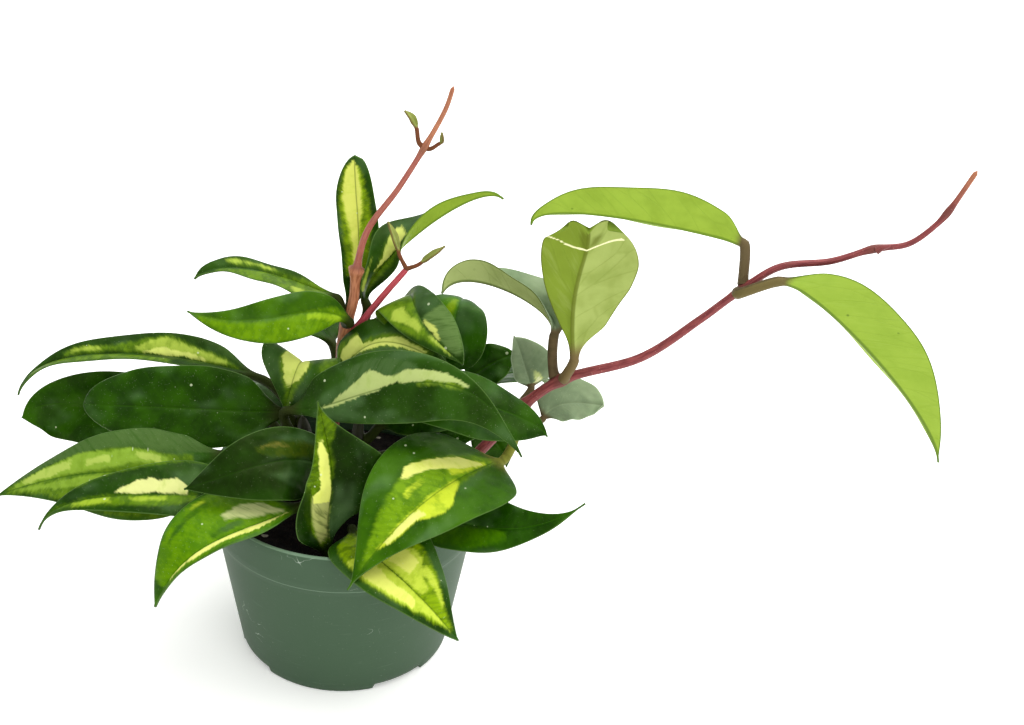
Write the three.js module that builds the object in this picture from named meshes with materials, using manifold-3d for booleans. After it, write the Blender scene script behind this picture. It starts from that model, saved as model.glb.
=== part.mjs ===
// Potted wax plant (Hoya carnosa with cream-centred leaves) in a four inch nursery pot.
// Millimetres, +Z up. The origin is the centre of the pot's underside, +X runs along the long
// trailing vine, and -Y is the front of the plant.

import * as THREE from 'three';
import { mergeVertices } from 'three/addons/utils/BufferGeometryUtils.js';
import Module from 'manifold-3d';

const wasm = await Module();
wasm.setup();

// Driving dimensions
const POT_HEIGHT = 75;
const RIM_RADIUS = 54;
const BASE_RADIUS = 42.8;
const COLLAR_HEIGHT = 16.4;
const COLLAR_FOOT_RADIUS = 52.8;
const COLLAR_STEP = 1.3;
const WALL = 1.6;
const LIP_ROUNDING = 0.8;
const FOOT_HEIGHT = 2.6;
const FOOT_RING_INNER = 33;
const CENTRE_PAD_RADIUS = 22;
const NOTCH_COUNT = 4;
const NOTCH_FIRST_ANGLE = -52;
const NOTCH_WIDTH = 22;
const DRAIN_HOLE_RADIUS = 3.2;
const DRAIN_RING_RADIUS = 27.5;
const FLOOR_THICKNESS = 2;
const SOIL_LEVEL = 65;
const HEAP_HEIGHT = 2.5;
const HEAP_WIDTH = 110;
const GAP = 0.3;
const ROUND_STEPS = 48;
const SOIL_STEPS = 36;

const BLADE_THICKNESS = 1.0;
const STALK_RADIUS = 1.9;
const TIP_HALF_WIDTH = 0.35;
const BLADE_STATIONS = [0, 0.08, 0.2, 0.36, 0.54, 0.71, 0.87, 1];
const STALK_STEPS = 2;
const LONG_STALK = 14;
const STALK_BEND = 0.35;
const PATH_SAMPLES = 200;
const COLUMNS = [-1, -0.5, 0, 0.5, 1];
const STEM_SIDES = 8;
const NODE_LENGTH = 3.2;
const NODE_SWELLING = 0.28;
const KEEL_DEPTH = 0.7;
const USUAL_FOLD = 12;
const BLADE_CURL = -14;

const vec = ([x, y, z]) => new THREE.Vector3(x, y, z);
const radians = THREE.MathUtils.degToRad;

// Closed meshes and booleans

function toManifold(geometry) {
  const bare = geometry.index ? geometry : geometry.clone();
  bare.deleteAttribute('normal');
  bare.deleteAttribute('uv');
  const merged = mergeVertices(bare, 1e-4);
  return new wasm.Manifold(new wasm.Mesh({
    numProp: 3,
    vertProperties: new Float32Array(merged.attributes.position.array),
    triVerts: new Uint32Array(merged.index.array),
  }));
}

function toGeometry(manifold) {
  const mesh = manifold.getMesh();
  const geometry = new THREE.BufferGeometry();
  geometry.setAttribute('position', new THREE.BufferAttribute(mesh.vertProperties, 3));
  geometry.setIndex(new THREE.BufferAttribute(mesh.triVerts, 1));
  geometry.computeVertexNormals();
  return geometry;
}

function turned(profile, steps = ROUND_STEPS) {
  const points = profile.map(([r, z]) => new THREE.Vector2(r, z));
  const geometry = new THREE.LatheGeometry(points, steps);
  geometry.rotateX(Math.PI / 2);
  return toManifold(geometry);
}

// A skin over stations, each with a top and a bottom row of points from left to right. Both faces
// are split along the same diagonal, so the thin body never crosses itself.
function skinned(stations) {
  const columns = stations[0].top.length;
  const perStation = 2 * columns;
  const positions = stations.flatMap(({ top, bottom }) => [...top, ...bottom].flatMap((p) => p.toArray()));
  const index = [];
  const top = (i, j) => i * perStation + j;
  const bottom = (i, j) => i * perStation + columns + j;
  const quad = (a, b, c, d) => index.push(a, b, c, a, c, d);
  const last = stations.length - 1;
  for (let i = 0; i < last; i += 1) {
    for (let j = 0; j < columns - 1; j += 1) {
      quad(top(i, j), top(i, j + 1), top(i + 1, j + 1), top(i + 1, j));
      index.push(bottom(i, j), bottom(i + 1, j + 1), bottom(i, j + 1));
      index.push(bottom(i, j), bottom(i + 1, j), bottom(i + 1, j + 1));
    }
    quad(bottom(i, 0), top(i, 0), top(i + 1, 0), bottom(i + 1, 0));
    quad(top(i, columns - 1), bottom(i, columns - 1), bottom(i + 1, columns - 1), top(i + 1, columns - 1));
  }
  for (let j = 0; j < columns - 1; j += 1) {
    quad(top(0, j), bottom(0, j), bottom(0, j + 1), top(0, j + 1));
    quad(top(last, j + 1), bottom(last, j + 1), bottom(last, j), top(last, j));
  }
  const geometry = new THREE.BufferGeometry();
  geometry.setAttribute('position', new THREE.Float32BufferAttribute(positions, 3));
  geometry.setIndex(index);
  return geometry;
}

// Pot: a tapered cup with a deeper collar, four feet with drainage notches between them, a raised
// drain channel with holes, and a flat centre pad.

function potBody() {
  const collarFoot = POT_HEIGHT - COLLAR_HEIGHT;
  const wallTopRadius = COLLAR_FOOT_RADIUS - COLLAR_STEP;
  const floorTop = FOOT_HEIGHT + FLOOR_THICKNESS;
  const shell = turned([
    [0, 0],
    [CENTRE_PAD_RADIUS, 0],
    [CENTRE_PAD_RADIUS + 1, FOOT_HEIGHT],
    [FOOT_RING_INNER - 1, FOOT_HEIGHT],
    [FOOT_RING_INNER, 0],
    [BASE_RADIUS - 1, 0],
    [BASE_RADIUS, 1],
    [wallTopRadius, collarFoot - 0.8],
    [COLLAR_FOOT_RADIUS, collarFoot],
    [RIM_RADIUS, POT_HEIGHT - LIP_ROUNDING],
    [RIM_RADIUS - LIP_ROUNDING, POT_HEIGHT],
    [RIM_RADIUS - WALL, POT_HEIGHT],
    [COLLAR_FOOT_RADIUS - WALL, collarFoot],
    [wallTopRadius - WALL, collarFoot - 2],
    [BASE_RADIUS - WALL, floorTop + 1],
    [BASE_RADIUS - WALL - 2, floorTop],
    [0, floorTop],
  ]);
  const notchRadius = (BASE_RADIUS + FOOT_RING_INNER) / 2;
  let pot = shell;
  for (let k = 0; k < NOTCH_COUNT; k += 1) {
    const angle = radians(NOTCH_FIRST_ANGLE + (360 * k) / NOTCH_COUNT);
    const notch = new THREE.BoxGeometry(BASE_RADIUS - FOOT_RING_INNER + 8, NOTCH_WIDTH, 2 * FOOT_HEIGHT);
    notch.translate(notchRadius + 2, 0, 0);
    notch.rotateZ(angle);
    pot = pot.subtract(toManifold(notch));
    const hole = new THREE.CylinderGeometry(DRAIN_HOLE_RADIUS, DRAIN_HOLE_RADIUS, 4 * floorTop, 20);
    hole.rotateX(Math.PI / 2);
    hole.translate(DRAIN_RING_RADIUS, 0, 0);
    hole.rotateZ(angle);
    pot = pot.subtract(toManifold(hole));
  }
  return pot;
}

function soilRadius(z) {
  const collarFoot = POT_HEIGHT - COLLAR_HEIGHT;
  const wallTopRadius = COLLAR_FOOT_RADIUS - COLLAR_STEP;
  const floor = FOOT_HEIGHT + 3;
  const rise = Math.min(1, Math.max(0, (z - floor) / (collarFoot - 2 - floor)));
  return BASE_RADIUS - WALL - GAP + (wallTopRadius - BASE_RADIUS) * rise;
}

// Potting mix: a plug that fills the pot, with a gently heaped, lumpy top.
function soilBody() {
  const bottom = FOOT_HEIGHT + FLOOR_THICKNESS + GAP;
  const rings = [0, 12, 23, 33, 41, soilRadius(SOIL_LEVEL)];
  const heap = (r) => SOIL_LEVEL - 1 + HEAP_HEIGHT * Math.cos((Math.PI * r) / HEAP_WIDTH);
  const profile = [
    [0, bottom],
    [soilRadius(bottom) - 2.5, bottom],
    [soilRadius(bottom + 1.5), bottom + 1.5],
    [soilRadius(POT_HEIGHT - COLLAR_HEIGHT - 2), POT_HEIGHT - COLLAR_HEIGHT - 2],
    ...rings.slice().reverse().map((r) => [r, heap(r)]),
  ];
  const points = profile.map(([r, z]) => new THREE.Vector2(r, z));
  const geometry = new THREE.LatheGeometry(points, SOIL_STEPS);
  geometry.rotateX(Math.PI / 2);
  const position = geometry.attributes.position;
  for (let i = 0; i < position.count; i += 1) {
    const [x, y, z] = [position.getX(i), position.getY(i), position.getZ(i)];
    const inner = 1 - Math.min(1, Math.hypot(x, y) / rings.at(-1)) ** 4;
    const lump = Math.sin(0.31 * x + 1) * Math.cos(0.27 * y - 0.5) + 0.6 * Math.sin(0.55 * y + 0.4 * x);
    position.setZ(i, z > SOIL_LEVEL - 2 ? z + inner * lump : z);
  }
  return toManifold(geometry);
}

// Stems: round, tapered rods along a smooth path, swollen at the nodes where leaves stand.

const pathOf = (rod) => new THREE.CatmullRomCurve3(rod.path.map(vec), false, 'centripetal');

function rodRadius(rod, nodes, centre, u) {
  const share = (node) => Math.exp(-((node.distanceTo(centre) / NODE_LENGTH) ** 2));
  const swelling = nodes.reduce((sum, node) => sum + share(node), 0);
  return THREE.MathUtils.lerp(rod.radius[0], rod.radius[1], u ** 0.8) * (1 + NODE_SWELLING * swelling);
}

// The share of the path's length at which it comes closest to a point.
function nearestShare(curve, point) {
  const shares = Array.from({ length: PATH_SAMPLES + 1 }, (_, i) => i / PATH_SAMPLES);
  return shares.reduce((best, u) => (
    curve.getPointAt(u).distanceTo(point) < curve.getPointAt(best).distanceTo(point) ? u : best
  ), 0);
}

// The share of the path's length at which it passes a height. Every stem rises all the way.
function shareAtHeight(curve, height) {
  let low = 0;
  let high = 1;
  while (high - low > 1 / PATH_SAMPLES ** 2) {
    const middle = (low + high) / 2;
    if (curve.getPointAt(middle).z < height) {
      low = middle;
    } else {
      high = middle;
    }
  }
  return low;
}

// The rings of a rod are evenly spaced, and the ring nearest to a node moves onto it.
function rodBody(rod, nodes, extra) {
  const curve = pathOf(rod);
  const steps = rod.steps;
  const shares = Array.from({ length: steps + 1 }, (_, i) => i / steps);
  for (const node of nodes) {
    const u = nearestShare(curve, node);
    const ring = Math.round(u * steps);
    if (ring > 0 && ring < steps && curve.getPointAt(u).distanceTo(node) < NODE_LENGTH) {
      shares[ring] = u;
    }
  }
  const half = STEM_SIDES / 2;
  let across = new THREE.Vector3(0, 1, 0);
  const stations = shares.map((u, i) => {
    const tangent = curve.getTangentAt(u);
    across = across.clone().addScaledVector(tangent, -across.dot(tangent)).normalize();
    const over = tangent.clone().cross(across);
    const reach = i === 0 ? -extra : i === steps ? extra : 0;
    const centre = curve.getPointAt(u);
    const radius = rodRadius(rod, nodes, centre, u) + extra;
    const middle = centre.addScaledVector(tangent, reach);
    const points = Array.from({ length: STEM_SIDES }, (_unused, k) => {
      const angle = (2 * Math.PI * (k + 0.5)) / STEM_SIDES;
      return middle.clone()
        .addScaledVector(across, radius * Math.cos(angle))
        .addScaledVector(over, radius * Math.sin(angle));
    });
    return { top: points.slice(0, half), bottom: points.slice(half).reverse() };
  });
  return toManifold(skinned(stations));
}

function stemBody(stem, extra = 0) {
  const nodes = (stem.nodes || []).map(vec);
  const branches = (stem.branches || []).map((branch) => rodBody(branch, nodes, extra));
  return branches.reduce((body, branch) => body.add(branch), rodBody(stem, nodes, extra));
}

// Leaf blades

// The cubic that passes through four points at 0, 1/3, 2/3 and 1.
function ribCurve(points) {
  const [a, b, c, d] = points.map(vec);
  const handle = (near, p, q, far) => near.clone().multiplyScalar(-5)
    .addScaledVector(p, 18).addScaledVector(q, -9).addScaledVector(far, 2).divideScalar(6);
  return new THREE.CubicBezierCurve3(a, handle(a, b, c, d), handle(d, c, b, a), d);
}

// Half width of the blade along the rib: round toward the stalk, drawn out toward the tip. A reach
// above 1 puts the point past the end of the rib, so that the blade ends blunt.
function halfWidth(leaf, t, hand) {
  const own = (value, usual) => (Array.isArray(value) ? value[hand] : value ?? usual);
  const peak = own(leaf.peak, 0.42);
  const near = (1 - (1 - Math.min(t, peak) / peak) ** 2) ** own(leaf.round, 0.6);
  const far = (1 - (Math.max(0, t - peak) / ((leaf.reach ?? 1) - peak)) ** 2) ** own(leaf.point, 1.05);
  return leaf.half * own(leaf.sides, 1) * near * far;
}

function bladeFrame(leaf, curve, t) {
  const tangent = curve.getTangent(t).normalize();
  const up = vec(leaf.face).lerp(vec(leaf.faceTip ?? leaf.face), t);
  const normal = up.addScaledVector(tangent, -up.dot(tangent)).normalize();
  const side = tangent.clone().cross(normal);
  return { tangent, normal, side };
}

// Each half leaves the rib at its fold angle and curls back on the way to the margin. A lobe carries
// the middle of each half past the end of the rib, which gives a heart-shaped end, and a heel
// carries a margin back beside the stalk.
function bladeStation(leaf, curve, t) {
  const { tangent, normal, side } = bladeFrame(leaf, curve, t);
  const centre = curve.getPoint(t);
  const rows = COLUMNS.map((u) => {
    const hand = u < 0 ? 0 : 1;
    const reach = Math.abs(u);
    const fold = radians(leaf.fold?.[hand] ?? USUAL_FOLD);
    const curl = radians(BLADE_CURL);
    const span = Math.max(TIP_HALF_WIDTH, halfWidth(leaf, t, hand)) / curl;
    const angle = fold + curl * reach;
    const out = span * (Math.sin(angle) - Math.sin(fold));
    const lift = -span * (Math.cos(angle) - Math.cos(fold));
    const turn = reach === 0 ? 0 : angle;
    const sign = hand === 0 ? -1 : 1;
    const ahead = (leaf.lobe ?? 0) * Math.sin(Math.PI * reach) * t ** 4
      - (leaf.heel?.[hand] ?? 0) * reach ** 2 * (1 - t) ** 6;
    const point = centre.clone()
      .addScaledVector(side, sign * out)
      .addScaledVector(normal, lift)
      .addScaledVector(tangent, ahead);
    const outward = normal.clone()
      .multiplyScalar(Math.cos(turn))
      .addScaledVector(side, -sign * Math.sin(turn));
    return { point, outward, keel: reach === 0 ? KEEL_DEPTH * (1 - t) : 0 };
  });
  const half = BLADE_THICKNESS / 2;
  return {
    top: rows.map((r) => r.point.clone().addScaledVector(r.outward, half)),
    bottom: rows.map((r) => r.point.clone().addScaledVector(r.outward, -half - r.keel)),
  };
}

function stalkStation(centre, side, normal, radius) {
  const at = (angle) => centre.clone()
    .addScaledVector(side, radius * Math.cos(angle))
    .addScaledVector(normal, radius * Math.sin(angle));
  const step = Math.PI / COLUMNS.length;
  const angles = COLUMNS.map((_, j) => Math.PI - (j + 0.5) * step);
  return { top: angles.map((a) => at(a)), bottom: angles.map((a) => at(-a)) };
}

function blend(a, b, weight) {
  const mix = (row) => a[row].map((p, j) => p.clone().lerp(b[row][j], weight));
  return { top: mix('top'), bottom: mix('bottom') };
}

// The stalk's centre line. On a stem it starts GAP clear of the bark, square to it, on the side that
// faces the blade or the side named by exit. Elsewhere it starts at the point named by from.
function stalkCurve(leaf, foot, tangent) {
  let root;
  let exit;
  if (leaf.on) {
    const [name, height] = leaf.on;
    const stem = STEMS[name];
    const curve = pathOf(stem);
    const u = shareAtHeight(curve, height);
    const centre = curve.getPointAt(u);
    const along = curve.getTangentAt(u);
    exit = leaf.exit ? vec(leaf.exit) : foot.clone().sub(centre);
    exit.addScaledVector(along, -exit.dot(along)).normalize();
    const radius = rodRadius(stem, stem.nodes.map(vec), centre, u);
    root = centre.clone().addScaledVector(exit, radius + GAP);
  } else {
    root = vec(leaf.from);
    exit = foot.clone().sub(root).normalize();
  }
  const reach = (leaf.bend ?? STALK_BEND) * root.distanceTo(foot);
  return new THREE.CubicBezierCurve3(
    root,
    root.clone().addScaledVector(exit, reach),
    foot.clone().addScaledVector(tangent, -reach),
    foot,
  );
}

// The leaf is one body: a round stalk from the stem that flattens into the blade.
function leafBody(leaf) {
  const curve = ribCurve(leaf.rib);
  const foot = curve.getPoint(0);
  const start = bladeFrame(leaf, curve, 0);
  const radius = leaf.stalk ?? STALK_RADIUS;
  const stalk = stalkCurve(leaf, foot, start.tangent);
  const steps = stalk.getLength() > LONG_STALK ? STALK_STEPS + 1 : STALK_STEPS;
  const stations = [];
  let normal = start.normal;
  for (let k = steps - 1; k >= 0; k -= 1) {
    const u = k / steps;
    const tangent = stalk.getTangent(u).normalize();
    normal = normal.clone().addScaledVector(tangent, -normal.dot(tangent)).normalize();
    const side = tangent.clone().cross(normal);
    stations.unshift(stalkStation(stalk.getPoint(u), side, normal, radius));
  }
  for (const t of BLADE_STATIONS) {
    const frame = bladeFrame(leaf, curve, t);
    const round = stalkStation(curve.getPoint(t), frame.side, frame.normal, radius * (1 - 0.3 * t));
    const weight = THREE.MathUtils.smoothstep(t, -0.04, 0.17);
    stations.push(blend(round, bladeStation(leaf, curve, t), weight));
  }
  return toManifold(skinned(stations));
}

// Stems

const STEMS = {
  trailing_vine: {
    path: [
      [36, -4, 46], [37, -4, 64], [43, -3, 80], [56, 0, 97], [68, 2, 113], [81, 2, 125], [110, 1, 138],
      [130, 1, 156], [143, 0, 170], [155, 0, 180], [173, 0, 184], [187, 0, 190], [199, 0, 193],
      [207, 0, 201], [210, 0, 206], [216, -2, 223],
    ],
    nodes: [[67, 2, 112], [81, 2, 125], [143, 0, 170], [187, 0, 190], [210, 0, 206]],
    radius: [2.6, 0.9],
    steps: 34,
    branches: [{ path: [[188, -1, 190], [190, -1.6, 191.6], [192.5, -1.6, 192.4]], radius: [1.2, 0.6], steps: 2 }],
  },
  upright_shoot: {
    path: [
      [-8, 15, 46], [-8, 15, 66], [-6, 15, 108], [-4, 15, 129], [0, 14, 146], [1, 14, 159],
      [5, 13, 176], [16, 12, 194], [25, 11, 211], [32, 10, 226], [34.5, 9, 235],
    ],
    nodes: [[-6, 15, 108], [-3, 15, 135], [1, 14, 159], [25, 11, 211]],
    radius: [2.3, 0.8],
    steps: 26,
    branches: [
      { path: [[-3, 15, 128], [5, 13, 140], [13, 10, 153], [19.6, 10, 162]], radius: [1.5, 1.1], steps: 6 },
    ],
  },
  left_stem: {
    path: [[-14, -2, 46], [-14, -2, 66], [-15, -4, 84], [-16, -4, 96], [-17, -3, 103]],
    nodes: [[-15, -4, 85], [-16, -4, 97]],
    radius: [2.4, 1.9],
    steps: 8,
  },
  middle_stem: {
    path: [[4, -10, 46], [4, -10, 66], [5, -10, 84], [5, -8, 98], [6, -6, 116]],
    nodes: [[5, -10, 82], [5, -8, 98]],
    radius: [2.4, 1.9],
    steps: 9,
  },
  back_stem: {
    path: [[24, 20, 46], [25, 20, 66], [32, 22, 88], [39, 22, 106]],
    nodes: [[32, 22, 88]],
    radius: [2.3, 1.9],
    steps: 8,
  },
};

const stems = Object.fromEntries(Object.entries(STEMS).map(([name, stem]) => [name, stemBody(stem)]));

// Leaves
// rib: the midrib's points from the foot of the blade to the tip. on: the stem that bears the leaf
// and the height of the stalk on it, and exit the side it leaves on. from: where a stalk starts
// otherwise. bend: how far the stalk arches, as a share of its length. half: greatest half width,
// times sides for one half. peak: share of the rib where a half is widest. round and point: how full
// it is toward the stalk and the tip. face and faceTip: where the upper face looks at both ends.
// fold: how far a half is raised, in degrees. A pair is the left and right half as seen from above
// with the tip ahead.

const LEAVES = {
  leaf_left_long: { rib: [[-38, 18, 106], [-77, 24, 109], [-115, 22, 106], [-133, 12, 93]],
    on: ['left_stem', 100], exit: [-0.6, 1, 0], half: 10.5, sides: [0.8, 1], peak: [0.45, 0.25],
    round: [0.95, 1.05], point: [1.35, 2.15], face: [0, -0.2, 1], fold: [31, 31] },
  leaf_left_broad: { rib: [[-24, -2, 103], [-53, -5, 104], [-78, -5, 103], [-102, -2, 100]],
    on: ['left_stem', 93], half: 17, sides: [0.9, 1], peak: 0.4, round: [0.4, 0.5], point: [0.6, 0.45],
    face: [0, -0.7, 0.7], fold: [7, 12] },
  leaf_left_back: { rib: [[-48, 22, 88], [-78, 24, 80], [-110, 18, 87], [-131, 8, 85]],
    on: ['left_stem', 86], half: 16.5, peak: 0.45, point: [0.35, 1.2], face: [0, -0.9, 0.4] },
  leaf_left_low: { rib: [[-41, -22, 96], [-66, -30, 91], [-89, -34, 91], [-127, -34, 77]],
    on: ['left_stem', 87], half: 19, sides: [1, 0.95], peak: 0.45, round: [0.6, 0.5], point: [1.2, 1],
    face: [0, -0.6, 0.8], fold: [8, 4] },
  leaf_left_under: { rib: [[-37, -31, 86], [-54, -42, 90], [-85, -48, 90], [-105, -52, 77]],
    on: ['left_stem', 78], half: 14, sides: [0.65, 1], peak: 0.3, point: [1.75, 1.9], face: [0, -0.6, 0.8],
    fold: [21, 1] },
  leaf_middle_dark: { rib: [[-3, -20, 91], [-16, -33, 103], [-32, -42, 103], [-52, -48, 97]],
    on: ['middle_stem', 96], half: 15, sides: [1, 0.85], peak: [0.35, 0.45], round: [0.6, 0.45],
    face: [0, -0.75, 0.65], fold: [5, 8] },
  leaf_front_left: { rib: [[-12, -38, 86], [-31, -54, 85], [-46, -66, 81], [-58, -73, 63]],
    on: ['middle_stem', 84], half: 20, sides: [0.3, 1], peak: [0.3, 0.4], round: [0.75, 0.6],
    point: [1.25, 1.05], face: [0, -0.6, 0.8], fold: [39, -3] },
  leaf_front_upright: { rib: [[-1, -41, 65], [-1, -39, 89], [-1, -34, 99], [-7, -28, 126]],
    from: [-4, -41, 56], half: 22.5, sides: [0.7, 1], peak: [0.25, 0.65], round: [0.6, 1.7],
    point: [0.9, 1.65], face: [0.45, -0.85, 0], fold: [29, 28] },
  leaf_front_large: { rib: [[60, -14, 96], [43, -36, 100], [26, -55, 93], [10, -69, 74]],
    on: ['trailing_vine', 109], half: 25.5, sides: [0.75, 1], peak: [0.25, 0.4], round: [0.5, 0.55],
    point: [1.65, 1.6], face: [0.05, -0.43, 0.9], fold: [15, 10], heel: [9, 0] },
  leaf_front_rim: { rib: [[7, -33, 73], [18, -53, 77], [31, -63, 73], [50, -66, 52]], from: [10, -25, 57],
    half: 19, sides: [1, 0.8], peak: [0.45, 0.25], point: [1.1, 0.8], face: [0.1, -0.55, 0.8],
    fold: [12, 25] },
  leaf_right_low: { rib: [[31, -22, 74], [48, -37, 83], [69, -44, 88], [92, -45, 102]],
    on: ['middle_stem', 76], half: 13, sides: [1, 0.9], peak: [0.4, 0.3], point: [2, 1.55],
    face: [0, -0.5, 0.85], fold: [12, 10] },
  leaf_top_large: { rib: [[-20, -14, 112], [7, -20, 125], [39, -26, 136], [68, -33, 112]],
    on: ['left_stem', 90], exit: [0.3, -1, 0], half: 14.5, peak: [0.35, 0.55], round: [0.6, 1.6],
    point: [2.4, 1.05], face: [0, -0.75, 0.65], fold: [6, 1] },
  leaf_top_right: { rib: [[21, -12, 120], [37, -17, 126], [62, -18, 121], [77, -18, 112]],
    on: ['middle_stem', 110], half: 14, sides: [0.85, 1], peak: [0.35, 0.5], point: 1.35,
    face: [0, -0.5, 0.85], fold: [6, 3] },
  leaf_top_arched: { rib: [[-3, 2.5, 121], [6, 1, 133], [20, -2, 137.5], [43, -4, 126]],
    on: ['upright_shoot', 112], exit: [0.3, -1, 0], half: 13, sides: [0.85, 0.75], peak: [0.35, 0.3],
    face: [0, -0.5, 0.85], fold: [8, 6], heel: [5, 0] },
  leaf_top_folded: { rib: [[-15, 7, 106], [-16.5, 4, 119], [-18, -3, 126], [-23, -8, 106]],
    on: ['upright_shoot', 92], half: 15.5, peak: 0.65, round: 1.5, point: [1.05, 1.4], face: [0, 1, 0.3],
    faceTip: [0, -1, 0.3], fold: [22, 17] },
  leaf_top_twisted: { rib: [[8, 22, 133], [21, 16, 149], [25, 4, 149], [44, -11, 136]],
    on: ['upright_shoot', 120], exit: [0.8, 1, 0], half: 15, sides: [0.7, 1.05], peak: [0.82, 0.3],
    round: [2.6, 0.5], point: [0.7, 1.05], face: [-0.2, -0.35, 0.9], faceTip: [-0.3, -0.55, 0.8],
    fold: [20, 10] },
  leaf_back_round: { rib: [[34, 24, 112], [37, 23, 126], [39, 28, 138], [41, 40, 136]],
    on: ['back_stem', 102], exit: [-1, 0.2, 0], half: 16.5, sides: [1, 0.85], peak: 0.4,
    point: [1.15, 0.95], face: [0, -1, 0.1], faceTip: [0, -0.6, 0.8], fold: [9, 11] },
  leaf_back_dark: { rib: [[46, 24, 109], [50, 26, 113], [57, 28, 117], [63, 30, 119]],
    on: ['back_stem', 101], half: 9, face: [0, -0.6, 0.8] },
  leaf_grey_upper: { rib: [[70, 11, 116], [68, 15, 119], [65, 18, 126], [62, 17, 134]],
    on: ['trailing_vine', 112], half: 12, sides: [0.45, 1], peak: [0.35, 0.4], point: [0.9, 1.25],
    face: [0.3, -0.9, 0.4], stalk: 1.4 },
  leaf_grey_right: { rib: [[76, 8, 104], [83, 12, 108], [92, 14, 108], [99, 12, 109]],
    on: ['trailing_vine', 109], half: 12, sides: [1, 0.65], round: [0.35, 0.3], point: [0.9, 0.7],
    face: [0, -0.5, 0.85], stalk: 1.4 },
  leaf_vine_left: { rib: [[77, 5, 143], [68, 13, 151], [48, 16, 157], [34, 6, 156]],
    on: ['trailing_vine', 124], exit: [-0.5, 0.6, 0.6], bend: 0.2, half: 12.5, sides: [0.7, 1],
    peak: [0.75, 0.3], round: [0.8, 0.6], point: [1.05, 1.2], face: [0, 0, 1], faceTip: [-0.35, 0.6, 0.45],
    fold: [56, 49] },
  leaf_vine_heart: { rib: [[85, -2, 137], [83, 2, 160], [85, 5, 174], [86, 7, 184]],
    on: ['trailing_vine', 126], exit: [-0.3, -0.8, 0.4], bend: 0.2, half: 20.5, sides: [1, 0.8],
    peak: [0.7, 0.75], reach: 1.1, round: [0.6, 1.3], point: [0.6, 0.55], face: [0, 1, 0], fold: [8, 16],
    lobe: 5 },
  leaf_vine_arched: { rib: [[141, 1, 188], [118, 6, 190], [83, 10, 191], [65, 7, 186]],
    on: ['trailing_vine', 171], exit: [-0.4, 1, 0.4], bend: 0.12, half: 16.5, sides: [1, 0.25],
    peak: [0.4, 0.45], round: [0.8, 0.65], point: [1.45, 1.05], face: [0, 0.85, 0.5],
    faceTip: [0, 0.75, 0.65], fold: [22, 27] },
  leaf_vine_hanging: { rib: [[156, -4, 176.5], [178, -5, 164], [208, -8, 136], [225, -12, 110]],
    on: ['trailing_vine', 169], exit: [-0.2, -1, 0.2], bend: 0.3, half: 19.5, sides: [0.2, 1], peak: 0.4,
    round: [0.6, 1.15], point: [1.4, 1.9], face: [0.5, 0.75, 0.4], faceTip: [0.45, 0.85, 0.25],
    fold: [32, 22] },
  leaf_shoot_upright: { rib: [[-3, 22, 137], [0, 27, 158], [-1, 30, 176], [-2, 28, 199]],
    on: ['upright_shoot', 132], exit: [-0.3, 1, 0], half: 8, peak: [0.7, 0.45], point: [0.6, 0.3],
    face: [0, -1, 0.1] },
  leaf_shoot_right: { rib: [[4, 19, 143], [12, 21, 161], [35, 22, 183], [54, 24, 188]],
    on: ['upright_shoot', 126], exit: [0.4, 1, 0], half: 10.5, sides: [1, 0.55], peak: [0.45, 0.55],
    round: [0.6, 0.75], point: [1.35, 1.45], face: [0.55, -0.6, 0.5], faceTip: [0.05, 0.8, 0.6],
    fold: [51, 29] },
  leaf_shoot_left: { rib: [[-7, 15, 146], [-24, 17, 151], [-44, 14, 156], [-59, 8, 153]],
    on: ['upright_shoot', 139], exit: [-1, 0, 0], half: 10.5, sides: [1, 0.45], peak: [0.3, 0.7],
    round: [0.6, 0.85], point: [1.45, 1.15], face: [0, -0.2, 1], fold: [22, 31] },
  leaf_shoot_lime: { rib: [[-1, 8, 140], [-15, 0, 147], [-33, -7, 146], [-57, -12, 150]],
    on: ['upright_shoot', 137], exit: [-0.2, -1, 0], half: 10, sides: [1, 0.8], peak: [0.5, 0.4],
    round: [0.95, 0.6], point: [1, 1.15], face: [0, -0.8, 0.6], fold: [9, 11] },
  leaf_inner_right: { rib: [[14, -7, 104], [26, -7, 109], [39, -8, 112], [53, -8, 115]],
    on: ['middle_stem', 98], half: 8, face: [0, -0.6, 0.8] },
  leaf_inner_front: { rib: [[23, -5, 93], [33, -5, 99], [44, -5, 103], [53, -5, 101]],
    on: ['middle_stem', 90], half: 8, face: [0, -0.6, 0.8] },
  leaf_inner_low: { rib: [[47, 19, 88], [53, 18, 87], [59, 16, 84], [63, 13, 76]],
    on: ['back_stem', 85], half: 9, face: [0, -0.6, 0.8] },
  leaf_rear_right: { rib: [[46, 32, 99], [59, 38, 104], [72, 46, 100], [83, 52, 88]],
    on: ['back_stem', 93], half: 14, face: [0, 0.3, 1] },
  leaf_rear_middle: { rib: [[-10, 28, 118], [-18, 40, 122], [-24, 54, 116], [-28, 66, 102]],
    on: ['upright_shoot', 110], half: 15, face: [0, 0.3, 1] },
  leaf_rear_left: { rib: [[-30, 22, 78], [-40, 38, 84], [-50, 52, 82], [-58, 66, 70]],
    on: ['left_stem', 74], half: 14, face: [0, 0.3, 1] },
  leaf_rear_low: { rib: [[28, 34, 88], [34, 50, 91], [38, 63, 84], [40, 74, 68]],
    on: ['back_stem', 77], half: 15, face: [0, 0.3, 1] },
  leaf_rear_under: { rib: [[-10, 29, 88], [-16, 42, 88], [-22, 56, 80], [-26, 66, 64]],
    on: ['upright_shoot', 80], half: 13, face: [0, 0.3, 1] },
};

// Leaves whose stalk stands in the potting mix itself.
const ROOTED_LEAVES = ['leaf_front_upright', 'leaf_front_rim'];

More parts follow.
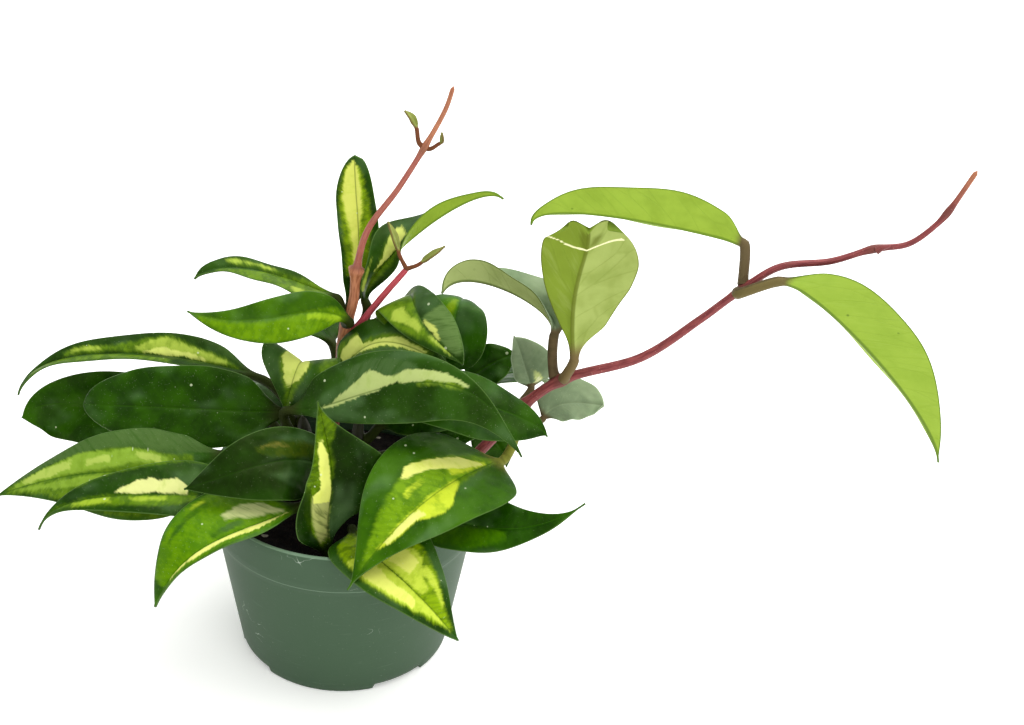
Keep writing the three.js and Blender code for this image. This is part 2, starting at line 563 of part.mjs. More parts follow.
// The youngest leaves: a small pair at the end of the side shoot, one body with the bud between
// them, and a leaf and a bud scale at the last node of the upright shoot.
const SIDE_SHOOT_BUD = [20.1, 10, 162.9];
const YOUNG_LEAVES = {
  side_shoot_leaves: [
    { rib: [[17, 10, 170], [16, 10, 174], [14.5, 10, 178], [12.8, 10, 181.5]], from: SIDE_SHOOT_BUD,
      half: 1.7, face: [0.8, -0.5, 0.2], stalk: 0.75 },
    { rib: [[25.5, 10, 166], [28, 10, 168.5], [31, 10, 171], [34, 10, 173.5]], from: SIDE_SHOOT_BUD,
      half: 1.5, face: [-0.4, -0.5, 0.7], stalk: 0.75 },
  ],
  top_shoot_leaf: [
    { rib: [[22, 11, 218], [21, 11, 220.5], [19.5, 11, 222.5], [17.5, 11, 224]], on: ['upright_shoot', 211],
      half: 1.7, face: [0.5, -0.5, 0.7], stalk: 0.8 },
  ],
  top_shoot_bud: [
    { rib: [[30.5, 11, 213], [31, 11, 214], [31, 11, 215.5], [31, 11, 217]], on: ['upright_shoot', 211],
      half: 0.9, face: [-0.6, -0.7, 0.1], stalk: 0.7 },
  ],
};

const COLOURS = { pot: 0x50634f, soil: 0x14110d, stem: 0x9d6361, leaf: 0x2a4f12, light: 0x9fb84a };
const MATERIALS = Object.fromEntries(Object.entries(COLOURS).map(([name, color]) => [
  name,
  new THREE.MeshStandardMaterial({ name, color, roughness: name === 'soil' ? 1 : 0.5, metalness: 0 }),
]));

const group = new THREE.Group();

function place(name, manifold, material) {
  const mesh = new THREE.Mesh(toGeometry(manifold), MATERIALS[material]);
  mesh.name = name;
  group.add(mesh);
}

const stemHoles = Object.values(STEMS).map((stem) => stemBody(stem, GAP));
const stalkHoles = ROOTED_LEAVES.map((name) => {
  const leaf = LEAVES[name];
  const [x, y, z] = leaf.from;
  return leafBody({ ...leaf, from: [x, y, z - GAP], stalk: STALK_RADIUS + GAP });
});

place('pot', potBody(), 'pot');
place('soil', [...stemHoles, ...stalkHoles].reduce((rest, hole) => rest.subtract(hole), soilBody()), 'soil');
for (const [name, stem] of Object.entries(stems)) {
  place(name, stem, 'stem');
}
for (const [name, leaf] of Object.entries(LEAVES)) {
  place(name, leafBody(leaf), 'leaf');
}
for (const [name, leaves] of Object.entries(YOUNG_LEAVES)) {
  place(name, leaves.map(leafBody).reduce((body, leaf) => body.add(leaf)), 'light');
}

export default group;
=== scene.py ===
"""Potted wax plant with cream-centred leaves in a green nursery pot: the finished looks around the
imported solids.

Sizes are in millimetres, and make_piece() turns them into metres. The origin is the centre of the
pot's underside, +X runs along the long trailing vine, and -Y is the front.
"""
import math

import bpy
import numpy as np
from mathutils import Matrix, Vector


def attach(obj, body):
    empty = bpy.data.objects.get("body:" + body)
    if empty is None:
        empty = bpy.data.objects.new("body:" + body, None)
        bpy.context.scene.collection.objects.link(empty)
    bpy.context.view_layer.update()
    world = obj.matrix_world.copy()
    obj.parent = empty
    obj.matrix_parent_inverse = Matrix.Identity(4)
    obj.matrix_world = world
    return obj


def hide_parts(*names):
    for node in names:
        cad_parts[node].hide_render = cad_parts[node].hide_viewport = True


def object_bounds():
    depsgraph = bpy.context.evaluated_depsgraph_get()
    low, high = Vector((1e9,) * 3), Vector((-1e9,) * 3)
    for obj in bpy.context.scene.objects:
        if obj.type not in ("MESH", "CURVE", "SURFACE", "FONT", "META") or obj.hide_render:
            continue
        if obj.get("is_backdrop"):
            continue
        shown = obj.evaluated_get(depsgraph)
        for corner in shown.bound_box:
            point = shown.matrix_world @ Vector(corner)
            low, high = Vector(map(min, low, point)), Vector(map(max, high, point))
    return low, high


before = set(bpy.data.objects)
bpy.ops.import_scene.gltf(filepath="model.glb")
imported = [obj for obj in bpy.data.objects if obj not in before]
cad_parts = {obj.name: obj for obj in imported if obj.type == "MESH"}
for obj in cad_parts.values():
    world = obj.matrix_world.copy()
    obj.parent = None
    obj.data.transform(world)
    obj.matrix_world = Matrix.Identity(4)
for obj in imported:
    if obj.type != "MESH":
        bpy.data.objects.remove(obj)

SOLID_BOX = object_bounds()
MM = 0.001

# Camera of the photograph
PITCH = math.radians(29.86)
ROLL = math.radians(4.39)
CAMERA_PLACE = (61.9, -457.1, 394.6)
LENS = 49.22

# Light and shine
FLOOR_GLOW = 0.24                # the white floor lights the pot a little from below
LEAF_SHEEN = 0.12                # mirror light of a leaf
WAX_TINT = (0.75, 1.0, 0.35, 1)  # colour of that light
LEAF_ROUGHNESS = 0.26            # smoothest spots of an upper face
UNDERSIDE_ROUGHNESS = 0.5
UPPER_RELIEF = 0.5
UNDER_RELIEF = 0.4
RELIEF_HEIGHT = 0.0003           # metres, for leaves and bark

# Pot and potting mix, as in the solids
POT_HEIGHT = 75
RIM_RADIUS = 54
BASE_RADIUS = 42.8
COLLAR_FOOT = 58.6
COLLAR_FOOT_RADIUS = 52.8
WALL_TOP_RADIUS = 51.5
WALL = 1.6
FOOT_HEIGHT = 2.6
FOOT_RING_INNER = 33
CENTRE_PAD_RADIUS = 22
NOTCH_ANGLES = (-52, 38, 128, 218)
NOTCH_WIDTH = 22
POT_SIDES = 288
SOIL_LEVEL = 65
SOIL_RADIUS = 49.7
SOIL_SIDES = 144

# Stems: sizes of the skin, and what the finish shows
NODE_LENGTH = 3.2
NODE_SWELLING = 0.4
STEM_SIDES = 24
STEM_STEP = 1.2                  # from ring to ring
BRANCH_ROWS = 40
SHEATH_THICKNESS = 0.5
SHEATH_FLARE = 0.9
SHEATH_LIP = 3.0                 # length of the flared rim
SHEATH_START = 8                 # length over which the sheath grows out of the bark
TAN_STRENGTH = 0.85

# Leaves: sizes of the skin
BLADE_THICKNESS = 0.95
STALK_RADIUS = 1.9
STALK_BEND = 0.35
STALK_FLARE = 0.22
STALK_FLARE_LENGTH = 2.5
TIP_HALF_WIDTH = 0.35
KEEL_DEPTH = 0.7
GROOVE_DEPTH = 0.45
CURL = -14                       # degrees that each half turns on from the rib to its margin
HALF_COLUMNS = 18
BLADE_ROWS = 84
YOUNG_BLADE_ROWS = 30
STALK_ROWS = 14
BLADE_GROWS = (-0.04, 0.17)      # shares of the rib between which the round stalk turns flat
STALK_COLOUR_ENDS = (0.01, 0.10)

# Leaves: the painted pattern, in millimetres along and across the blade
VEIN_SLANT = 0.75                # how far a side vein runs ahead for each millimetre out
UNDER_VEIN_SLANT = 0.9
TORN_DEPTH = 5.0                 # greatest reach of the torn strokes at a patch's border
# Grey patches are painted glare, and on front_upright painted shade over the cream.
PATCHES = (("lime", 2.4, 1.0), ("grey", 1.8, 1.0), ("yellow", 1.6, 1.0), ("cream", 1.0, 1.0),
           ("deep", 1.6, 0.85))  # kind, width of its soft edge, strength
NO_PATCH = -30.0                 # depth of a point outside every patch
STALK_MARGIN = 9.0               # a stalk counts as this far from any margin


# ---------------------------------------------------------------- surfaces


def rows(text):
    """Numbers from a text in which spaces part the numbers of a row and commas part the rows."""
    return np.array([row.split() for row in text.split(",")], float)


def unit(vectors):
    """Each vector divided by its own length."""
    return vectors / np.linalg.norm(vectors, axis=-1, keepdims=True)


def square_to(vectors, axis):
    """Each vector less its share along the axis, made one long."""
    along = (vectors * axis).sum(-1, keepdims=True)
    return unit(vectors - along * axis)


def smoothstep(value, low, high):
    """0 below low, 1 above high, and 3x^2 - 2x^3 between them."""
    x = np.clip((value - low) / (high - low), 0, 1)
    return x * x * (3 - 2 * x)


def bell(value, middle, width):
    """exp(-((value - middle) / width)^2), a smooth bump one high."""
    return np.exp(-(((value - middle) / width) ** 2))


def bezier(a, b, c, d, t):
    """Points and directions of the cubic with ends a and d and handles b and c, at the shares t."""
    t = np.asarray(t, float).reshape(-1, 1)
    s = 1 - t
    place = s**3 * a + 3 * s * s * t * b + 3 * s * t * t * c + t**3 * d
    way = s * s * (b - a) + 2 * s * t * (c - b) + t * t * (d - c)
    return place, unit(way)


def rib_line(points, t):
    """The cubic that passes through the four points of a text at 0, 1/3, 2/3 and 1: its first handle
    is (-5a + 18b - 9c + 2d) / 6, and its second is the same from the other end."""
    a, b, c, d = rows(points)
    return bezier(a, (-5 * a + 18 * b - 9 * c + 2 * d) / 6, (-5 * d + 18 * c - 9 * b + 2 * a) / 6, d, t)


def stem_line(points, steps=24):
    """A centripetal Catmull-Rom curve through the points of a text, as a fine polyline: between two
    points it is the cubic whose end slopes come from the neighbours, with knots a square root of the
    distance apart. Returns the polyline and the share of its length at each point."""
    p = rows(points)
    p = np.vstack([2 * p[0] - p[1], p, 2 * p[-1] - p[-2]])
    gap = np.linalg.norm(np.diff(p, axis=0), axis=1)[:, None] ** 0.5
    before, here, after = gap[:-2], gap[1:-1], gap[2:]
    p0, p1, p2, p3 = p[:-3], p[1:-2], p[2:-1], p[3:]
    slope1 = ((p1 - p0) / before - (p2 - p0) / (before + here) + (p2 - p1) / here) * here
    slope2 = ((p2 - p1) / here - (p3 - p1) / (here + after) + (p3 - p2) / after) * here
    t = np.linspace(0, 1, steps, endpoint=False)[None, :, None]
    p1, p2, slope1, slope2 = (x[:, None, :] for x in (p1, p2, slope1, slope2))
    line = (
        (2 * t**3 - 3 * t**2 + 1) * p1 + (t**3 - 2 * t**2 + t) * slope1
        + (3 * t**2 - 2 * t**3) * p2 + (t**3 - t**2) * slope2
    ).reshape(-1, 3)
    line = np.vstack([line, p[-2]])
    length = np.concatenate([[0], np.cumsum(np.linalg.norm(np.diff(line, axis=0), axis=1))])
    return line, length / length[-1]


def along_line(line, share, u):
    """Points and directions of a polyline at the shares u of its length."""
    at = lambda where: np.stack([np.interp(where, share, line[:, k]) for k in range(3)], -1)
    step = 0.004
    return at(u), unit(at(np.clip(u + step, 0, 1)) - at(np.clip(u - step, 0, 1)))


def ring_faces(rows, columns, start=0):
    """Quads of a grid of rows whose columns close on themselves."""
    i, j = np.meshgrid(np.arange(rows - 1), np.arange(columns), indexing="ij")
    k = (j + 1) % columns
    quads = np.stack([i * columns + j, i * columns + k, (i + 1) * columns + k, (i + 1) * columns + j], -1)
    return quads.reshape(-1, 4) + start


def closed_tube(grid):
    """A closed skin of a grid of rings (rows, columns, 3): the rings, and a point in the middle of
    each end ring with a fan around it. Returns points and faces, where a triangle repeats a corner."""
    rows, columns, _ = grid.shape
    points = np.vstack([grid.reshape(-1, 3), grid[0].mean(0), grid[-1].mean(0)])
    j = np.arange(columns)
    k = (j + 1) % columns
    first, last = rows * columns, rows * columns + 1
    end = (rows - 1) * columns
    near = np.stack([np.full(columns, first), k, j, j], -1)
    far = np.stack([np.full(columns, last), end + j, end + k, end + k], -1)
    return points, np.vstack([ring_faces(rows, columns), near, far])


def volume(points, faces):
    """Six times the signed volume of a closed skin: above zero where its faces point outwards."""
    a, b, c, d = (points[faces[:, k]] for k in range(4))
    return (np.cross(a, b) * c).sum() + (np.cross(a, c) * d).sum()


def make_piece(name, points, faces, finishes, stands_for, fields=None, finish_of_face=None):
    """Puts a closed skin into a mesh, in metres, facing outwards, and rides it on the plant."""
    if volume(points, faces) < 0:
        faces = faces[:, ::-1]
    corners = [list(dict.fromkeys(face)) for face in faces.tolist()]
    mesh = bpy.data.meshes.new(name)
    mesh.from_pydata((points * MM).tolist(), [], corners)
    for finish in finishes:
        mesh.materials.append(finish)
    if finish_of_face is not None:
        mesh.polygons.foreach_set("material_index", finish_of_face.astype(np.int32))
    for field, values in (fields or {}).items():
        mesh.attributes.new(field, "FLOAT", "POINT").data.foreach_set("value", values.astype(np.float32))
    mesh.shade_smooth()
    mesh.update()
    piece = bpy.data.objects.new(name, mesh)
    bpy.context.scene.collection.objects.link(piece)
    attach(piece, "root")
    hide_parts(*stands_for)


# ---------------------------------------------------------------- node trees


class Value:
    """A number, vector or colour in a node tree. Arithmetic on it places Math nodes."""

    def __init__(self, socket):
        self.socket = socket

    def maths(self, operation, *others):
        """One Math node, with this value as its first input."""
        inputs = dict(enumerate([self, *others]))
        return Paint(self.socket.id_data).node("Math", inputs, operation=operation)[0]

    def __add__(self, other):
        return self.maths("ADD", other)

    def __sub__(self, other):
        return self.maths("SUBTRACT", other)

    def __mul__(self, other):
        return self.maths("MULTIPLY", other)

    def __truediv__(self, other):
        return self.maths("DIVIDE", other)

    def __pow__(self, other):
        return self.maths("POWER", other)

    def __abs__(self):
        return self.maths("ABSOLUTE")


def fill(sockets, values):
    """Sets each named socket to its value, or links it where the value comes from a node."""
    for key, value in values.items():
        if isinstance(value, Value):
            sockets[key].id_data.links.new(value.socket, sockets[key])
        else:
            sockets[key].default_value = value


class Outputs:
    """The outputs of a node, by name or number."""

    def __init__(self, sockets):
        self.sockets = sockets

    def __getitem__(self, key):
        return Value(self.sockets[key])


class Paint:
    """A node tree, with the few kinds of nodes that the finishes use."""

    def __init__(self, tree):
        self.tree = tree

    def node(self, kind, inputs=None, **settings):
        """Places one node and returns its outputs."""
        made = self.tree.nodes.new("ShaderNode" + kind)
        for key, value in settings.items():
            setattr(made, key, value)
        fill(made.inputs, inputs or {})
        return Outputs(made.outputs)

    def field(self, name):
        """A number kept on the mesh's points."""
        return self.node("Attribute", attribute_name=name)["Fac"]

    def place(self):
        """The point's place on the object, in metres."""
        return self.node("TexCoord")["Object"]

    def vector(self, x, y, z=0.0):
        """A vector from three numbers."""
        return self.node("CombineXYZ", {0: x, 1: y, 2: z})[0]

    def step(self, value, low, high, to_low=0.0, to_high=1.0):
        """A smooth step of a value from low to high."""
        ends = {"From Min": low, "From Max": high, "To Min": to_low, "To Max": to_high}
        return self.node("MapRange", {"Value": value, **ends}, interpolation_type="SMOOTHSTEP")[0]

    def mix(self, share, a, b):
        """Colour b over colour a."""
        return self.node("Mix", {0: share, 6: a, 7: b}, data_type="RGBA")[2]

    def noise(self, vector, scale, detail=2.0, roughness=0.5):
        """Smooth noise around 0.5."""
        inputs = {"Vector": vector, "Scale": scale, "Detail": detail, "Roughness": roughness}
        return self.node("TexNoise", inputs)["Fac"]

    def cells(self, vector, scale):
        """Cells around scattered points: the distance to the point, and three chances of the cell."""
        made = self.node("TexVoronoi", {"Vector": vector, "Scale": scale})
        return made["Distance"], self.node("SeparateColor", {0: made["Color"]})

    def group(self, group, inputs):
        """A group's outputs in this tree, with its own inputs."""
        return self.node("Group", inputs, node_tree=group)

    def bump(self, height, strength, distance):
        """A normal raised by a height. distance is in metres."""
        return self.node("Bump", {"Height": height, "Strength": strength, "Distance": distance})[0]


def rgb(red, green, blue):
    """A colour as a screen shows it, 0 to 255, as the linear colour that shaders use."""
    value = np.array([red, green, blue]) / 255
    linear = np.where(value <= 0.04045, value / 12.92, ((value + 0.055) / 1.055) ** 2.4)
    return (*linear.tolist(), 1.0)


def new_group(name, colours, numbers, results):
    """An empty node group. The result "Color" is a colour, and the others are numbers. Returns its
    paint, its inputs and the sockets for its results."""
    tree = bpy.data.node_groups.new(name, "ShaderNodeTree")
    for side, labels in (("INPUT", (*colours, *numbers)), ("OUTPUT", results)):
        for label in labels:
            kind = "NodeSocketColor" if label in (*colours, "Color") else "NodeSocketFloat"
            tree.interface.new_socket(label, in_out=side, socket_type=kind)
    given = Outputs(tree.nodes.new("NodeGroupInput").outputs)
    return Paint(tree), given, tree.nodes.new("NodeGroupOutput").inputs


def new_material(name):
    """A material. Returns it, its paint and its shader's sockets."""
    material = bpy.data.materials.new(name)
    material.use_nodes = True
    tree = material.node_tree
    return material, Paint(tree), tree.nodes["Principled BSDF"].inputs


# ---------------------------------------------------------------- leaf finish


def torn_patch_group():
    """Field is how many millimetres a point lies inside a patch. Streaky noise, drawn out along the
    side veins, is added to it, so that the patch ends in torn strokes as leaf colours do. Soft is the
    width of its fading edge."""
    paint, given, end = new_group("torn patch", (), ("Field", "Across", "Along", "Soft"), ("Mask",))
    side = abs(given["Across"])
    slant = side * -VEIN_SLANT + given["Along"]
    half = given["Across"].maths("SIGN") * 7.3
    fine = paint.noise(paint.vector(side * 0.4, slant, half), 0.7, 5.0, 0.62)
    broad = paint.noise(paint.vector(side * 0.6, slant, half), 0.17, 3.0)
    shift = (fine * 0.5 + broad * 0.5 - 0.5) * TORN_DEPTH
    fill(end, {"Mask": paint.step((given["Field"] + shift) / given["Soft"], -0.5, 0.5)})
    return paint.tree


UPPER_COLOURS = ("Deep", "Mid", "Lime", "Grey", "Yellow", "Cream", "Stalk", "Edge")
UNDER_COLOURS = ("Left", "Right", "Vein", "Rib", "Stalk")


def leaf_paint_group(torn):
    """The upper face: deep green with a cloudy mottle, a painted sheen of pale glare in soft clouds and
    faint side veins, then lime, yellow, cream, deep green and grey patches over each other, the grey
    ones painted glare and on front_upright painted shade over the cream, a pale margin, the midrib's
    line, white spots, scratches and dust, and the stalk's mottled colour where the blade begins, a dark
    olive painted shade on most leaves. The height is a slow swell with the veins on it."""
    results = ("Color", "Roughness", "Height")
    paint, given, end = new_group("leaf paint", UPPER_COLOURS, ("Flecks",), results)
    noise, vector, step, mix = paint.noise, paint.vector, paint.step, paint.mix
    across, along, seed = (paint.field(name) for name in ("across", "along", "seed"))
    side = abs(across)
    slant = side * -VEIN_SLANT + along
    place = vector(across, along, seed)
    streak = noise(vector(side * 0.2, slant, seed), 0.6, 4.0, 0.6)
    cloud = noise(place, 0.07, 3.0)
    mottle = noise(vector(across * 0.6, along, seed), 0.3, 4.0, 0.6)
    vein = paint.node("TexWave", {"Vector": vector(slant, 0.0), "Scale": 0.06, "Distortion": 3.0,
                                  "Detail": 3.0, "Detail Scale": 0.3}, wave_type="BANDS")["Fac"]

    deep, mid = given["Deep"], given["Mid"]
    green = mix(step(cloud, 0.38, 0.66), deep, mid)
    green = mix(step(mottle, 0.45, 0.75, 0.0, 0.35), green, mid)
    green = mix(step(vein, 0.88, 1.0, 0.0, 0.12), green, mid)
    # painted sheen: soft clouds of pale grey-green glare mixed into the green
    painted_sheen = noise(vector(across * 1.5, along, seed), 0.05)
    green = mix(step(painted_sheen, 0.5, 0.72, 0.0, 0.3), green, rgb(92, 122, 80))
    lime = mix(step(streak, 0.42, 0.66, 0.0, 0.3), given["Lime"], mid)
    paints = {
        "lime": mix(step(mottle, 0.42, 0.62, 0.0, 0.55), lime, mid),
        # painted glare: grey patches lay a pale grey-green over the blade (painted shade over cream on
        # front_upright)
        "grey": mix(step(streak, 0.45, 0.7, 0.0, 0.6), given["Grey"], mid),
        "yellow": mix(step(mottle, 0.45, 0.68, 0.0, 0.5), given["Yellow"], given["Lime"]),
        "cream": mix(step(mottle, 0.48, 0.72, 0.0, 0.4), given["Cream"], given["Yellow"]),
        "deep": green,
    }
    colour, masks = green, {}
    for kind, soft, strength in PATCHES:
        inputs = {"Field": paint.field(kind), "Across": across, "Along": along, "Soft": soft}
        masks[kind] = paint.group(torn, inputs)["Mask"]
        colour = mix(masks[kind] * strength, colour, paints[kind])
    colour = mix(step(paint.field("margin"), 0.45, 0.2, 0.0, 0.7), colour, given["Edge"])
    colour = mix(step(side, 0.45, 0.15, 0.0, 0.5), colour, mid)

    distance, chance = paint.cells(place, 0.22)
    size = chance[1] ** 3.0 * 0.12 + 0.025
    spots = step(distance - size, 0.02, -0.02) * step(chance[0], 0.7, 0.72)
    distance, chance = paint.cells(vector(across * 0.25, along, seed), 0.34)
    scratches = step(distance, 0.10, 0.04) * step(chance[2], 0.86, 0.88)
    dust = step(noise(place, 2.6, 2.0, 0.6), 0.70, 0.74, 0.0, 0.6)
    marks = spots.maths("MAXIMUM", scratches).maths("MAXIMUM", dust)
    colour = mix(marks * given["Flecks"], colour, rgb(196, 208, 170))

    # near its foot the blade takes the stalk colour, on most leaves the dark olive painted shade
    stalk = paint.field("stalk")
    colour = mix(stalk, colour, mix(step(mottle, 0.4, 0.65, 0.0, 0.35), given["Stalk"], rgb(38, 42, 18)))
    swell = noise(vector(across * 1.2, along, seed), 0.11, 2.0, 0.45)
    height = swell * 9.0 + streak * 0.5 + vein * 0.12 - (masks["yellow"] + masks["cream"]) * 0.12
    rough = mottle * 0.22 + stalk * 0.2 + LEAF_ROUGHNESS
    fill(end, {"Color": colour, "Roughness": rough, "Height": height})
    return paint.tree


def under_paint_group():
    """The lower face: a matt green for each half, one lighter and one darker as painted light and shade,
    with a faint net of side veins, a rib line, a darker margin, and a cream line and painted shade
    where the blade is creased."""
    paint, given, end = new_group("leaf underside", UNDER_COLOURS, (), ("Color", "Height"))
    noise, vector, step, mix = paint.noise, paint.vector, paint.step, paint.mix
    across, along, seed = (paint.field(name) for name in ("across", "along", "seed"))
    side = abs(across)
    slant = side * -UNDER_VEIN_SLANT + along
    place = vector(across, along, seed)
    mottle = noise(place, 0.10, 3.0, 0.55)
    streak = noise(vector(side * 0.3, slant, seed), 0.35, 3.0, 0.6)
    net = paint.node("TexVoronoi", {"Vector": vector(side * 0.4, slant, seed), "Scale": 0.13,
                                    "Randomness": 0.9}, feature="DISTANCE_TO_EDGE")["Distance"]
    vein = step(net, 0.05, 0.0)
    distance, chance = paint.cells(place, 0.14)
    speck = step(distance, 0.10, 0.04) * step(chance[1], 0.6, 0.64)
    # painted light and shade: each half gets its own green, lighter on the lit half
    colour = mix(step(across, -0.6, 0.6), given["Left"], given["Right"])
    for share, over in (
        (step(mottle, 0.35, 0.75, 0.0, 0.45), given["Vein"]),
        (step(streak, 0.5, 0.75, 0.0, 0.3), given["Left"]),
        (vein * 0.2, given["Vein"]),
        (step(side, 0.9, 0.3, 0.0, 0.75), given["Rib"]),
        (step(paint.field("margin"), 0.55, 0.25, 0.0, 0.8), given["Rib"]),
        # painted shade: the deep patches darken the lower face beside the crease
        (step(paint.field("deep"), -1.2, 1.0, 0.0, 0.7), given["Rib"]),
        (step(paint.field("cream"), -0.35, 0.1), rgb(232, 230, 178)),
        (speck * 0.7, given["Rib"]),
        (paint.field("stalk"), given["Stalk"]),
    ):
        colour = mix(share, colour, over)
    fill(end, {"Color": colour, "Height": vein * 0.5 + mottle * 0.4})
    return paint.tree


def leaf_finish(name, group, relief, inputs):
    """The waxy upper face or the matt lower face of a leaf, with its own colours."""
    material, paint, shader = new_material(name)
    made = paint.group(group, inputs)
    rough = made["Roughness"] if group == LEAF_PAINT else UNDERSIDE_ROUGHNESS
    fill(shader, {
        "Base Color": made["Color"], "Roughness": rough, "Specular IOR Level": LEAF_SHEEN,
        "Specular Tint": WAX_TINT, "Normal": paint.bump(made["Height"], relief, RELIEF_HEIGHT)})
    return material


def upper_finish(name, flecks=0.6, **colours):
    """An upper face. The usual colours stand where a row of the table has none of its own."""
    colours = {key.title(): rgb(*value) for key, value in {**USUAL_COLOURS, **colours}.items()}
    return leaf_finish(name, LEAF_PAINT, UPPER_RELIEF, {**colours, "Flecks": flecks})


LEAF_PAINT = leaf_paint_group(torn_patch_group())
UNDER_PAINT = under_paint_group()

# Colours as a screen shows them, 0 to 255
# The usual grey is the pale grey-green of painted glare.
USUAL_COLOURS = dict(lime=(98, 138, 14), grey=(150, 165, 120), yellow=(226, 226, 70),
                     # stalk: a dark olive, painted shade for the stalks that sit in the gaps between leaves
                     cream=(240, 240, 175), stalk=(34, 42, 12), edge=(70, 98, 44))
UPPER_ROWS = {
    "dark": dict(deep=(14, 44, 0), mid=(34, 72, 0), lime=(62, 84, 8), yellow=(112, 116, 44)),
    "vine": dict(deep=(16, 42, 4), mid=(34, 66, 10), stalk=(88, 74, 52)),
    "heart face": dict(deep=(92, 116, 30), mid=(120, 140, 50), stalk=(88, 74, 52), flecks=0.1),
    "streaked": dict(
        deep=(20, 46, 4), mid=(36, 68, 10), lime=(88, 118, 18), yellow=(146, 166, 60),
        grey=(86, 112, 58), cream=(186, 196, 98)),
    "pale streak": dict(
        deep=(18, 44, 2), mid=(34, 66, 10), lime=(106, 132, 30), grey=(58, 84, 42),
        yellow=(130, 152, 66), cream=(158, 172, 104)),
    "mottled": dict(
        deep=(16, 44, 2), mid=(34, 70, 8), lime=(88, 118, 20), grey=(60, 86, 38), yellow=(116, 146, 44),
        cream=(150, 170, 74)),
    "under mottled": dict(
        deep=(14, 42, 2), mid=(32, 66, 6), lime=(84, 116, 8), yellow=(136, 160, 40),
        cream=(192, 196, 124)),
    "front": dict(
        deep=(26, 64, 0), mid=(48, 92, 0), lime=(82, 122, 0), grey=(176, 184, 122),
        yellow=(156, 178, 36), cream=(206, 208, 112)),
    "bright": dict(
        deep=(14, 42, 0), mid=(30, 66, 6), lime=(122, 152, 6), yellow=(176, 194, 60),
        cream=(206, 212, 98)),
    "cream centre": dict(
        deep=(4, 24, 0), mid=(16, 44, 0), lime=(84, 114, 6), grey=(158, 164, 94), yellow=(190, 200, 80),
        cream=(204, 210, 104)),
    "front broad": dict(
        deep=(26, 62, 0), mid=(48, 88, 2), lime=(100, 136, 12), grey=(176, 184, 122),
        yellow=(176, 192, 44), cream=(206, 210, 112), stalk=(112, 114, 44)),
    "shaded": dict(deep=(8, 28, 0), mid=(20, 48, 2), lime=(48, 64, 6), yellow=(96, 92, 36)),
    "plain": dict(deep=(16, 48, 0), mid=(36, 78, 2), lime=(58, 100, 0), yellow=(100, 128, 6)),
    "lime": dict(deep=(30, 64, 0), mid=(54, 92, 0), lime=(88, 124, 2), yellow=(126, 156, 24)),
    "grey": dict(
        deep=(100, 116, 88), mid=(124, 140, 108), lime=(130, 150, 110), yellow=(180, 192, 122),
        cream=(214, 218, 168), stalk=(84, 68, 48), edge=(150, 166, 136)),
    "young": dict(
        deep=(104, 112, 52), mid=(134, 142, 74), lime=(120, 150, 60), stalk=(104, 58, 40),
        edge=(96, 70, 44), flecks=0.0),
}
UPPER = {key: upper_finish(key + " leaf", **row) for key, row in UPPER_ROWS.items()}

# Left half, right half, veins, rib and margin, stalk. The lighter and the darker half are painted
# light and shade, and the dark olive stalk of the olive and green rows is painted shade.
UNDER_ROWS = {
    "pale": ((140, 166, 56), (128, 154, 46), (112, 138, 36), (84, 112, 30), (88, 74, 52)),
    "hanging": ((150, 174, 74), (138, 164, 58), (120, 148, 44), (74, 100, 34), (96, 84, 52)),
    "heart": ((150, 164, 90), (116, 136, 44), (102, 120, 36), (86, 96, 26), (100, 84, 54)),
    "khaki": ((138, 150, 92), (128, 142, 76), (108, 122, 62), (70, 84, 40), (84, 68, 48)),
    "olive": ((92, 112, 30), (80, 102, 22), (66, 86, 16), (52, 72, 14), (34, 42, 12)),
    "green": ((84, 116, 34), (72, 104, 26), (58, 88, 20), (44, 70, 16), (34, 42, 12)),
    "young": ((126, 128, 72), (116, 120, 66), (96, 98, 50), (92, 70, 44), (96, 56, 40)),
}
UNDER = {
    key: leaf_finish(key + " underside", UNDER_PAINT, UNDER_RELIEF,
                     {label: rgb(*colour) for label, colour in zip(UNDER_COLOURS, row)})
    for key, row in UNDER_ROWS.items()
}


# ---------------------------------------------------------------- stems


def bark_finish(name, main, second, dark, pale):
    """Young bark: long streaks of two colours, darker rings at the nodes, tiny pale pores, and the
    straw brown of a dry sheath."""
    material, paint, shader = new_material(name)
    mix, step = paint.mix, paint.step
    along, turn = paint.field("along"), paint.field("turn")
    streak = paint.noise(paint.vector(turn * 2.0, along * 0.12), 1.3, 4.0, 0.6)
    blotch = paint.noise(paint.vector(turn, along), 0.09)
    pore = step(paint.cells(paint.vector(turn, along * 0.6), 1.1)[0], 0.14, 0.05)
    stripes = step(streak, 0.35, 0.65)
    colour = mix(stripes, rgb(*main), rgb(*second))
    colour = mix(step(blotch, 0.5, 0.75, 0.0, 0.5), colour, rgb(*dark))
    colour = mix(paint.field("node") * 0.75, colour, rgb(*dark))
    colour = mix(pore * 0.6, colour, rgb(*pale))
    colour = mix(paint.field("sheath"), colour, mix(stripes, rgb(140, 84, 54), rgb(182, 120, 84)))
    fill(shader, {
        "Base Color": colour, "Roughness": streak * 0.25 + 0.4, "Specular IOR Level": 0.3,
        "Normal": paint.bump(pore * 0.6 + streak, 0.6, RELIEF_HEIGHT)})
    return material


BARK = {
    "vine": bark_finish("red vine bark", (100, 34, 38), (134, 62, 60), (96, 48, 38), (184, 134, 118)),
    "shoot": bark_finish("pink shoot bark", (142, 72, 62), (160, 94, 78), (104, 64, 42), (186, 144, 116)),
    "side": bark_finish("side shoot bark", (158, 52, 64), (176, 72, 80), (120, 56, 48), (196, 130, 124)),
    # the old stems' bark is darkened nearly to black olive as painted shade in the gaps under the leaves
    "old": bark_finish("olive stem bark", (40, 42, 14), (32, 34, 12), (26, 26, 10), (66, 66, 34)),
}

